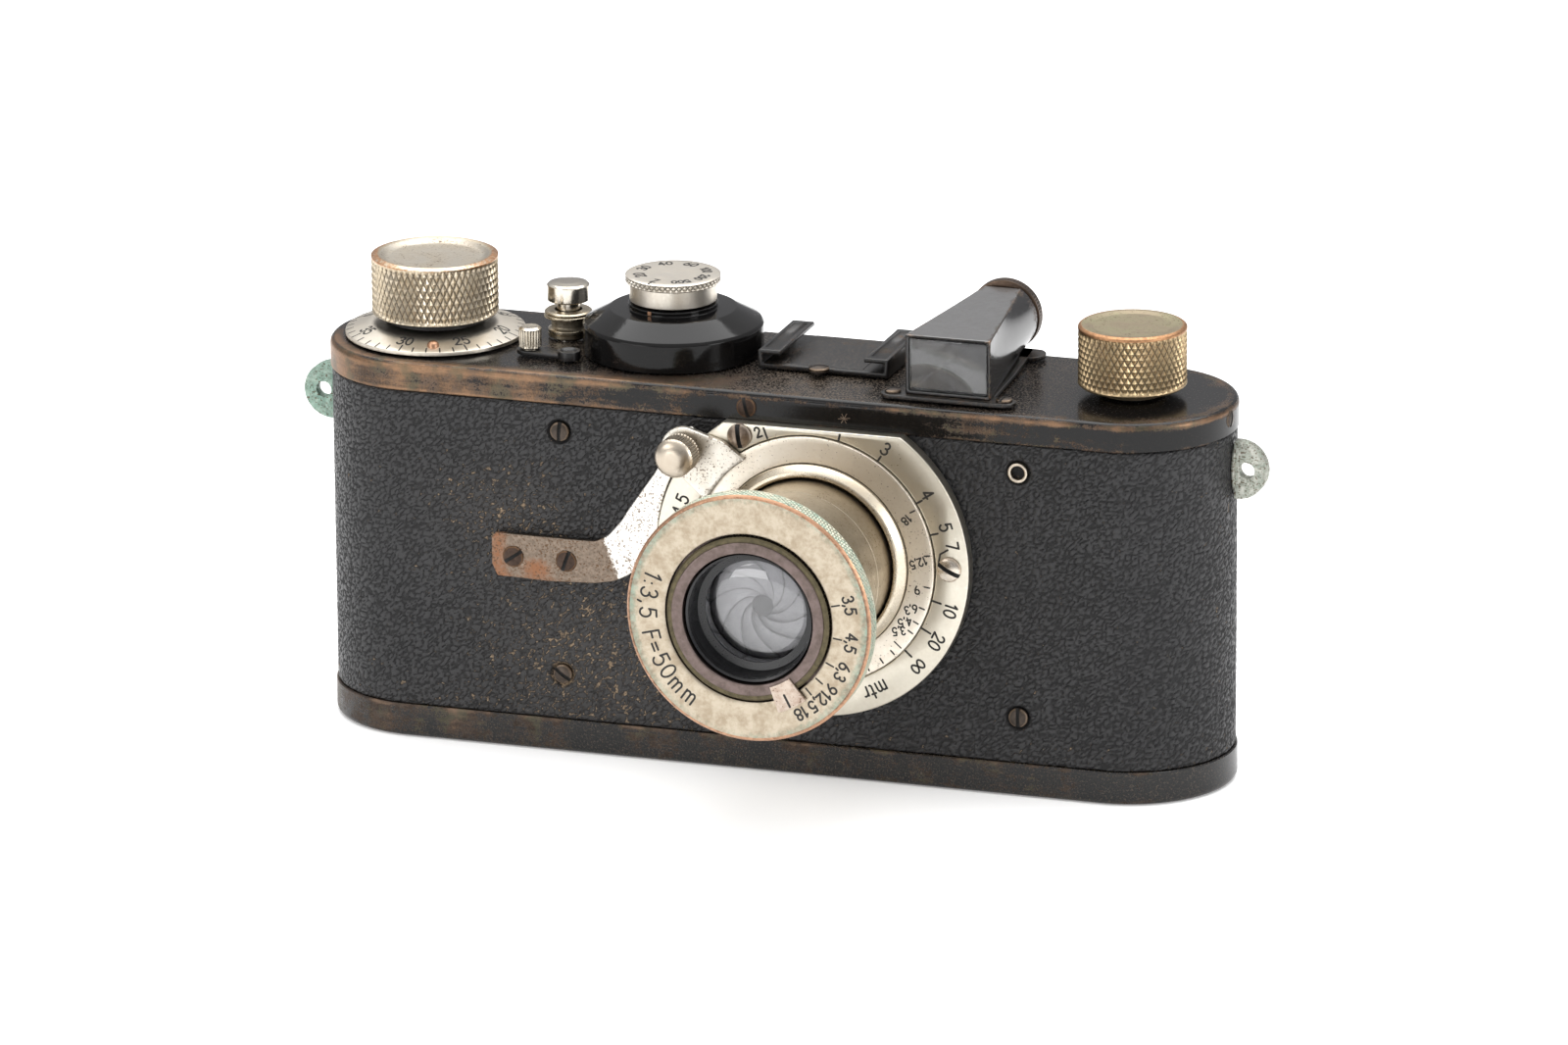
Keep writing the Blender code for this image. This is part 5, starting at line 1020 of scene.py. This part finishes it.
e = Engraver(flat(45.74), front(), 0.3)
for word, a, t in (("3,5", 12.6, 13.5), ("4,5", -8.2, -7.6), ("6,3", -25.4, -25.1), ("9", -37.0, -38.1), ("12,5", -47.0, -48.1), ("18", -59.6, -56.3)):
    e.curved(word, 1.6, 15.0, a, True, 0.13)
    e.tick(t, 12.4, 13.55, 0.24)
e.curved("1:3,5 F=50mm", 2.4, 14.5, 198.5, False, 0.2)
e.done("scale_aperture", "lens")

ridges = []
for i in range(9):
    ridges += [(9.06 - 0.03 * i, 45.4 - 0.42 * i), (8.8 - 0.05 * i, 45.22 - 0.42 * i)]
cell = [(9.1, 45.6), (9.1, 30.5), (7.2, 30.5), (7.2, 31.2), (7.9, 31.2), (7.9, 42.0), (7.35, 42.0), (7.35, 42.3), (8.4, 42.5), (8.62, 43.0), (8.5, 43.1), (8.66, 43.5), (8.54, 43.6), (8.7, 44.0), (8.58, 44.1), (8.74, 44.5), (8.62, 44.6), (8.8, 45.4)]
lathe(Shape(), finer(cell, 1.5, True), 120, front(), True).done("cell", "cell", "lens", "black_metal", "lens_cell", smooth=25)
lathe(Shape(), [(0, 42.75), (1.6, 42.72), (3.2, 42.6), (4.5, 42.47), (5.6, 42.3), (6.4, 42.11), (7.0, 41.9), (7.6, 41.5), (7.6, 39.8), (4.0, 39.72), (0, 39.7)], 96, front()).done("front_glass", "glass", "lens", "glass", "front_element", smooth=50)
iris = Shape()
rr, tt = np.meshgrid(np.linspace(1.55, 7.6, 22), np.linspace(0, 1, 7), indexing="ij")
for i in range(10):
    swirl = rad(36 * i + 20) + np.log(rr / 1.55) * 0.95 + tt * rad(41)
    lift = 39.1 + 0.55 * tt - 0.25 * tt * tt
    iris.put(front()(rr * np.cos(swirl), rr * np.sin(swirl), lift), grid_faces(22, 7, False), 0, 0.0, 0.9 * (tt > 0.95) + 0.5 * gauss(rr, 1.1, 0.3))
# Painted shade: a thin black disc closes the iris opening, standing in for the dark inside of the lens.
lathe(iris, [(0, 39.03), (1.7, 39.03), (1.7, 38.98), (0, 38.98)], 24, front(), mat=1)
iris.done("iris_blades", ["blade", "black"], "lens", "dark_steel", "iris_diaphragm", smooth=30, merge=0, outward=False)

# ------------------------------------------------------------------ wind knob and frame counter
wind = rounded([(0, H + 11.25), (6.9, H + 11.32, 1.5), (7.7, H + 11.85, 0.6), (8.25, H + 12.0, 0.4), (9.03, H + 11.72, 0.2), (9.03, H + 11.6)], 4)
wind = finer(wind, 0.7) + zone(H + 11.5, H + 3.6, 2.05 / 8, 9.03) + rounded([(9.0, H + 3.5), (8.85, H + 3.35, 0.08), (7.0, H + 3.35), (7.0, H + 2.36), (0, H + 2.36)], 3)
# Painted shade: the neck under the knurl is given matt black and the foot of the knurl is darkened fully, standing in
# for the shadow under the knob.
lathe(
    Shape(), wind, 464, up(*WIND), radial=knurl(58, 2.05, H + 3.6, H + 11.5, 9.03, 0.34),
    mats=lambda r, h: 2 if h < H + 3.45 else 1 if h > H + 11.0 and r < 7.9 else 0,
    wear=lambda r, h, t: (0.5 + 0.12 * np.sin(2 * t + 1)) * smooth(r, 7.5, 8.3) * (h > H + 11.25) + 0.1 * (np.abs(r - 9.03) < 0.02),
    grime_and_shade=lambda r, h, t: 1.0 * (h < H + 3.55) + 0.3 * gauss(r, 7.0, 0.5) * (h > H + 11),
).done("wind_knob_piece", ["wind", "windtop", "black"], "winding", "worn_nickel", "wind_knob", smooth=24)

e = Engraver(lambda u, v: H + 11.27 + 0 * u, up(*WIND), 0.22)
e.line([(5.7 * math.cos(rad(a)), 5.7 * math.sin(rad(a))) for a in range(146, 217, 7)])
e.line([(-4.1, -4.45), (-4.62, -3.34)])
e.line([(-5.55, -4.0), (-4.62, -3.34)])
e.done("wind_arrow", "winding")

dial = finer(rounded([(3.1, H + 2.0), (9.2, H + 2.0), (12.82, H + 0.85, 0.12), (12.82, H + 0.35), (3.1, H + 0.35)], 3, True), 0.8, True)
lathe(Shape(), dial, 160, up(*WIND), True, grime_and_shade=lambda r, h, t: 0.5 * (h < H + 0.7) + 0 * r, wear=lambda r, h, t: 0.2 * gauss(r, 12.8, 0.15)).done("counter_dial_piece", "counter", "counter", "nickel", "counter_dial")
pa = rad(18.0 - 90)
lathe(Shape(), [(0, H + 2.1), (0.35, H + 2.06), (0.65, H + 1.9), (0.85, H + 1.6), (0.85, H + 0.9), (0, H + 0.9)], 24, up(WIND[0] + 11.0 * math.cos(pa), WIND[1] + 11.0 * math.sin(pa))).done("counter_pin_piece", "copper", "counter", "nickel", "counter_dial")
cone = lambda u, v: H + 2.0 - np.clip(np.hypot(u, v) - 9.2, 0, 9) * (1.15 / 3.62)
e = Engraver(cone, up(*WIND), 0.29)
for n in range(40):
    a = -4.5 + 9 * (30 - n) - 90
    e.tick(a, 11.35 if n % 5 == 0 else 11.75, 12.65, 0.22)
for n in range(0, 40, 5):
    e.curved(str(n), 1.65, 10.3, -4.5 + 9 * (30 - n) - 90, False)
e.done("counter_figures", "counter")

# ------------------------------------------------------------------ release and reversing lever
collar = rounded([(1.98, H + 0.3), (2.92, H + 0.3), (2.92, H + 0.78), (2.75, H + 0.85), (2.92, H + 0.92), (2.92, H + 1.35, 0.15), (2.4, H + 1.7, 0.3), (2.5, H + 2.85, 0.2), (3.5, H + 3.1, 0.15), (3.5, H + 3.45, 0.15), (3.2, H + 3.62), (3.5, H + 3.8, 0.2), (3.1, H + 4.1, 0.2), (1.98, H + 4.1)], 4, True)
lathe(Shape(), collar, 80, up(*RELEASE), True, wear=lambda r, h, t: 0.35 * gauss(r, 3.5, 0.12), grime_and_shade=lambda r, h, t: 0.55 * gauss(r, 2.5, 0.3)).done("collar_release", "collar", "body", "nickel", "release_collar", smooth=30)
button = rounded([(0, H + 8.22), (1.5, H + 8.2, 1.5), (2.75, H + 8.02, 0.35), (3.06, H + 7.75, 0.2), (3.06, H + 5.6, 0.1), (2.9, H + 5.45, 0.1), (1.66, H + 5.45), (1.66, H - 0.1), (0, H - 0.1)], 5)
lathe(Shape(), button, 80, up(*RELEASE), wear=lambda r, h, t: 0.25 * gauss(r, 3.06, 0.1) * (h > H + 7.5)).done("button_release", "release", "release", "nickel", "release_button", smooth=30)

lever = Shape()
lathe(lever, rounded([(0, H + 1.3), (0.9, H + 1.32), (1.25, H + 1.6, 0.1), (1.65, H + 1.6, 0.15), (1.65, H + 0.35), (0.7, H + 0.35), (0.7, 54.75), (0, 54.75)], 3), 40, up(*REVERSE), wear=lambda r, h, t: 0.3 * gauss(r, 1.6, 0.15))
ax, ay = REVERSE_POST[0] - REVERSE[0], REVERSE_POST[1] - REVERSE[1]
at = math.degrees(math.atan2(ay, ax))
v, f = slab(arc(ax, ay, 1.9, at - 90, at + 90, 20) + arc(0, 0, 1.1, at + 90, at + 270, 14), H + 0.4, H + 1.0, 0.12, up(*REVERSE))
lever.put(v, f, 0, 0.3)
post = [(0, H + 4.15), (0.7, H + 4.2), (1.25, H + 4.25), (1.6, H + 3.95)] + [(1.6, H + 3.95 - 2.6 * i / 10) for i in range(1, 11)] + [(1.45, H + 1.2), (1.2, H + 1.1), (1.2, H + 0.7), (0, H + 0.7)]
lathe(lever, post, 176, up(*REVERSE_POST), radial=knurl(22, 2.6, H + 1.4, H + 3.9, 1.6, 0.14, "straight", 0.25, fade=0.15), mat=1, wear=lambda r, h, t: 0.1 + 0 * r)
lever = lever.done("lever_reversing", ["shoe", "post"], "reversing", "nickel", "reversing_lever", smooth=30, merge=1e-4)

# ------------------------------------------------------------------ shutter dial
dial_base = finer(rounded([(2.3, H + 0.3), (12.81, H + 0.3), (12.81, H + 4.2, 0.25), (12.5, H + 4.6, 0.15), (8.98, H + 6.5, 0.3), (6.35, H + 6.6, 0.12), (6.35, H + 6.9), (6.22, H + 6.95), (6.22, H + 7.05), (6.35, H + 7.1), (6.35, H + 7.3, 0.1), (2.3, H + 7.3)], 4, True), 0.8, True)
lathe(Shape(), dial_base, 160, up(*DRUM), True, wear=lambda r, h, t: 0.16 * gauss(r, 12.6, 0.3) * (0.5 + 0.5 * np.sin(3 * t)) + 0.12 * gauss(r, 9.0, 0.4)).done("dial_base", "dialbase", "body", "black_paint", "shutter_dial_base", smooth=26)
nick = rad(-103)
v, f = block((5.9, -0.28, H + 6.68), (6.42, 0.28, H + 7.25), lambda u, v, w: np.stack([DRUM[0] + u * math.cos(nick) - v * math.sin(nick), DRUM[1] + u * math.sin(nick) + v * math.cos(nick), w], -1))
Shape().put(v, f).done("dial_index", "copper", "body", "black_paint", "shutter_dial_base")
speed = [(0, H + 11.4)] + [(6.45 * i / 8, H + 11.4) for i in range(1, 8)] + rounded([(6.45, H + 11.4), (6.75, H + 11.28, 0.1), (6.75, H + 11.2)], 2) + zone(H + 11.2, H + 10.4, 0.1, 6.75)[1:] + rounded([(6.6, H + 10.25), (6.17, H + 10.15, 0.1), (6.17, H + 7.62, 0.15), (2.3, H + 7.6), (2.3, H + 10.3), (0, H + 10.3)], 3)
lathe(Shape(), speed, 51 * 8, up(*DRUM), radial=knurl(51, 0.8, H + 10.4, H + 11.2, 6.75, 0.26, "diamond", 0.1, fade=0.05), grime_and_shade=lambda r, h, t: 0.35 * gauss(h, H + 10.2, 0.15)).done("dial_speed", "speed", "dial", "nickel", "speed_dial", smooth=24)
e = Engraver(flat(H + 11.4), up(*DRUM), 0.28)
for i, word in enumerate(("Z", "20", "30", "40", "60", "100", "200", "500")):
    a = -13 - 90 - 45 * i
    e.curved(word, 1.45 if len(word) < 3 else 1.25, 4.85, a, True)
e.tick(-103, 5.9, 6.5)
e.done("speed_figures", "dial")

# ------------------------------------------------------------------ rewind knob
rewind = finer(rounded([(0, H + 9.9), (5.6, H + 9.95, 1.2), (6.6, H + 10.15, 0.5), (7.2, H + 10.2, 0.3), (7.62, H + 9.9, 0.25), (7.62, H + 9.6)], 4), 0.7)
rewind += zone(H + 9.55, H + 1.9, 1.7 / 8, 7.62) + rounded([(7.62, H + 1.75), (7.2, H + 1.36, 0.2), (4.6, H + 1.35), (4.6, H + 0.35), (2.8, H + 0.35), (2.8, H + 5.5), (0, H + 5.5)], 3)
# Painted shade: the foot of the knurl and the neck below it are darkened, standing in for the contact shadow under the
# knob.
lathe(
    Shape(), rewind, 384, up(*REWIND), radial=knurl(48, 1.7, H + 1.9, H + 9.55, 7.62, 0.3), mats=lambda r, h: 1 if h > H + 9.85 and r < 7.0 else 0,
    wear=lambda r, h, t: (0.55 + 0.1 * np.sin(3 * t)) * smooth(r, 6.4, 7.1) * (h > H + 9.55) + 0.28 * smooth(h, H + 8.3, H + 9.6) * (r > 7.2),
    grime_and_shade=lambda r, h, t: 0.3 * (h < H + 2.1) + 0.7 * (h < H + 1.5) + 0 * r,
).done("rewind_knob_piece", ["rewind", "rewindtop"], "rewind", "brass", "rewind_knob", smooth=24)

# ------------------------------------------------------------------ accessory shoe
section = [(-2.0, 0.3), (-2.0, 3.0, 0.3), (1.35, 3.0, 0.2), (1.35, 2.35, 0.2), (-1.25, 2.35, 0.2), (-1.25, 1.0), (16.55, 1.0), (16.55, 2.35, 0.2), (13.6, 2.35, 0.2), (13.6, 3.0, 0.2), (17.2, 3.0, 0.3), (17.2, 0.3)]
shoe = Shape()
v, f = slab(rounded(section, 3, True), -4.0, 11.5, 0.16, lambda u, v, w: np.stack([u, w, H + v], -1), (), 2)
shoe.put(v, f, 0, 0.28, 0.4)
v, f = slab([(-1.85, -5.3), (17.05, -5.3), (17.05, -3.4), (-1.85, -3.4)], H + 0.35, H + 0.95, 0.1, up(0, 0))
shoe.put(v, f, 0, 0.3, 0.5)
v, f = slab(arc(7.3, -4.9, 2.2, 180, 360, 20), H + 0.33, H + 0.97, 0.1, up(0, 0))
shoe.put(v, f, 0, 0.3, 0.5)
v, f = slab([(1.7, -3.1), (13.2, -3.1), (13.2, 11.3), (1.7, 11.3)], H + 0.9, H + 1.06, 0.06, up(0, 0))
shoe.put(v, f, 0, 0.25, 0.5)
shoe = shoe.done("shoe", "shoe", "body", "black_paint", "accessory_shoe", smooth=30, merge=0)
carve(shoe, *[Shape().put(*block((a, -2.6, H + 2.86), (b, 10.4, H + 4))) for a, b in ((-1.35, 0.7), (14.3, 16.5))])

# ------------------------------------------------------------------ viewfinder
VX, VY0, VY1 = 28.4, -12.0, 14.3


def box_loop(half, low, high, n, fillet=0.0):
    corners = [(half, low), (half, high), (-half, high), (-half, low)]
    out = []
    for k in range(4):
        (x0, z0), (x1, z1) = corners[k], corners[(k + 1) % 4]
        out += [(x0 + (x1 - x0) * i / n, z0 + (z1 - z0) * i / n) for i in range(n)]
    return out


def eye_loop(r, centre, flat_z, n):
    edge = math.degrees(math.asin((flat_z - centre) / r))
    width = r * math.cos(rad(edge))
    at = lambda a: (r * math.cos(rad(a)), centre + r * math.sin(rad(a)))
    out = [at(-45 + (edge + 45) * i / n) for i in range(n)]
    out += [(width - 2 * width * i / n, flat_z) for i in range(n)]
    out += [at(180 - edge + (edge + 45) * i / n) for i in range(n)]
    return out + [at(225 + 90 * i / n) for i in range(n)]


def morph(first, last, y0, y1, levels):
    rows = []
    for j in range(levels + 1):
        t = j / levels
        ease = t * t * (3 - 2 * t)
        rows.append([(VX + a[0] + (b[0] - a[0]) * t, y0 + (y1 - y0) * t, H + a[1] + (b[1] - a[1]) * (0.5 * t + 0.5 * ease)) for a, b in zip(first, last)])
    return np.array(rows)


N = 16
outer = morph(box_loop(6.2, 0.85, 9.45, N), eye_loop(5.05, 5.2, 9.55, N), VY0, VY1, 26)
bore = morph(box_loop(5.78, 1.28, 9.02, N), eye_loop(3.9, 5.2, 8.5, N), VY0, VY1, 26)
vf = Shape()


def near_corner(rows):
    i = np.arange(4 * N) % N
    d = np.minimum(i, N - i)
    w = np.zeros(rows.shape[:2]) + (d == 0)[None] * 0.55 + (d == 1)[None] * 0.2
    w[:, N * 0 : 1] *= 0.6
    return w


wv = near_corner(outer)
wv[0] += 0.5
wv[1] += 0.15
wv[-3:] += 0.42
vf.put(outer, grid_faces(27, 4 * N), [2 if N <= i < 2 * N else 0 for j in range(26) for i in range(4 * N)], np.clip(wv + 0.07, 0, 1), 0.1)
vf.put(bore, grid_faces(27, 4 * N), 1, 0.0, 0.0)
for j in (0, 26):
    vf.put(np.stack([outer[j], bore[j]]), grid_faces(2, 4 * N), 0, 0.35 if j == 0 else 0.4, 0.0)
vf = vf.done("finder_tube", ["finder", "finder_inner", "finder_top"], "body", "brassed_paint", "viewfinder_body", smooth=22, merge=1e-3)
b = vf.modifiers.new("edge", "BEVEL")
b.width, b.segments, b.limit_method, b.angle_limit = 0.22 * MM, 2, "ANGLE", rad(40)
foot = [(-6.2, 2.1, 0.3)] + arc(-8.1, 0.4, 1.7, 90, 270, 14) + arc(8.1, 0.4, 1.7, -90, 90, 14) + [(6.2, 2.1, 0.3), (5.6, 14), (4.6, 26.3), (-4.6, 26.3), (-5.6, 14)]
v, f = slab(rounded(foot, 3, True), H + 0.3, H + 0.9, 0.12, up(VX, VY0))
plate = Shape().put(v, f, 0, 0.32, 0.4)
v, f = slab(arc(4.4, 0.5, 2.5, -60, 60, 12) + [(-1, 3), (-1, -2)], H + 0.3, H + 0.9, 0.12, up(VX, 11.6))
plate.put(v, f, 0, 0.32, 0.4)
plate.done("finder_foot", "shoe", "body", "brassed_paint", "viewfinder_body", merge=0)
eye = lambda u, v, w: np.stack([VX + u, w, H + 5.2 + v], -1)
lathe(Shape(), finer(rounded([(4.9, 16.6, 0.1), (5.2, 16.3, 0.1), (5.2, 14.75, 0.1), (4.9, 14.6), (2.6, 14.6), (2.6, 15.4), (2.3, 15.6), (2.3, 16.6)], 3, True), 0.5, True), 288, eye, True, radial=knurl(72, 1.5, 14.8, 16.25, 5.2, 0.09, "straight", 0.2, fade=0.1), wear=lambda r, h, t: 0.35 * gauss(r, 5.1, 0.3)).done("eye_ring", "eyering", "body", "brassed_paint", "eyepiece_ring", smooth=30)
lathe(Shape(), [(0, 14.15), (1.6, 14.1), (3.1, 13.95), (3.1, 12.5), (0, 12.4)], 48, eye).done("eye_glass", "finder_glass", "body", "glass", "eyepiece_lens")
v, f = slab([(-5.62, -3.72), (5.62, -3.72), (5.62, 3.72), (-5.62, 3.72)], 10.9, 11.75, 0.12, front(VX, H + 5.15))
Shape().put(v, f).done("finder_window", "finder_glass", "body", "glass", "viewfinder_front_lens")

# scratches on the band
e = Engraver(flat(15.14), front(0, 0), 0.1, proud=0.03)
for a, l in ((8, 0.85), (60, 0.8), (115, 0.7), (160, 0.5)):
    c, s = math.cos(rad(a)) * l, math.sin(rad(a)) * l
    e.line([(14.3 - c, 52.9 - s), (14.3 + c, 52.9 + s)])
e.done("band_scratch", "body", "screw_brown")

# ------------------------------------------------------------------ floor, light and camera
M["floor"] = plain("pale_floor", (0.9, 0.9, 0.9), 0.85, 0.0, 0.0, 0.01, 0.0)
glow = next(n for n in M["floor"].node_tree.nodes if n.type == "BSDF_PRINCIPLED")
glow.inputs["Emission Color"].default_value = (1, 1, 1, 1)
glow.inputs["Emission Strength"].default_value = 0.22
glow.inputs["Specular IOR Level"].default_value = 0.0
mesh = bpy.data.meshes.new("floor")
mesh.from_pydata([(-3, -3, -1e-4), (3, -3, -1e-4), (3, 3, -1e-4), (-3, 3, -1e-4)], [], [(0, 1, 2, 3)])
floor = bpy.data.objects.new("floor", mesh)
floor.data.materials.append(M["floor"])
bpy.context.scene.collection.objects.link(floor)

scene = bpy.context.scene
world = bpy.data.worlds.new("studio")
world.use_nodes = True
sky = world.node_tree
way = sky.nodes.new("ShaderNodeTexCoord")
split = sky.nodes.new("ShaderNodeSeparateXYZ")
fade = sky.nodes.new("ShaderNodeValToRGB")
sky.links.new(way.outputs["Generated"], split.inputs[0])
sky.links.new(split.outputs["Z"], fade.inputs[0])
sky.links.new(fade.outputs[0], sky.nodes["Background"].inputs[0])
fade.color_ramp.elements[0].position = 0.0
fade.color_ramp.elements[0].color = (0.3, 0.3, 0.31, 1.0)
fade.color_ramp.elements[1].position = 1.0
fade.color_ramp.elements[1].color = (1.15, 1.15, 1.15, 1.0)
mid_sky = fade.color_ramp.elements.new(0.35)
mid_sky.color = (0.45, 0.45, 0.46, 1.0)
sky.nodes["Background"].inputs[1].default_value = 1.0
scene.world = world


def softbox(name, where, towards, w, h, power, colour=(1, 1, 1)):
    data = bpy.data.lights.new(name, "AREA")
    data.shape, data.size, data.size_y, data.energy, data.color = "RECTANGLE", w, h, power, colour
    lamp = bpy.data.objects.new(name, data)
    lamp.location = where
    lamp.rotation_euler = (Vector(towards) - Vector(where)).to_track_quat("-Z", "Y").to_euler()
    scene.collection.objects.link(lamp)


softbox("overhead", (0.0, 0.2, 0.85), (0, 0, 0.04), 1.15, 0.85, 9.5)
softbox("front_left", (-0.6, -0.75, 0.55), (0, 0, 0.03), 0.62, 0.45, 2.5, (1.0, 0.99, 0.97))
softbox("front_low", (-0.42, -1.08, 0.12), (0.01, -0.03, 0.035), 0.46, 0.2, 1.1)
softbox("right", (0.8, -0.2, 0.3), (0, 0, 0.03), 0.3, 0.4, 2.2)

a, tilt, roll = rad(18.36), rad(17.31), rad(-0.41)
aim = Vector((math.sin(a) * math.cos(tilt), -math.cos(a) * math.cos(tilt), math.sin(tilt)))
right = Vector((math.cos(a), math.sin(a), 0))
upward = aim.cross(right)
r2 = math.cos(roll) * right + math.sin(roll) * upward
u2 = -math.sin(roll) * right + math.cos(roll) * upward
lens = bpy.data.cameras.new("photo_camera")
lens.lens, lens.sensor_width = 250.1, 36.0
eye_cam = bpy.data.objects.new("photo_camera", lens)
scene.collection.objects.link(eye_cam)
eye_cam.matrix_world = Matrix([[r2[i], u2[i], aim[i], (463.01, -1393.98, 489.73)[i] * MM] for i in range(3)] + [[0, 0, 0, 1]])
scene.camera = eye_cam
scene.view_settings.view_transform = "Standard"
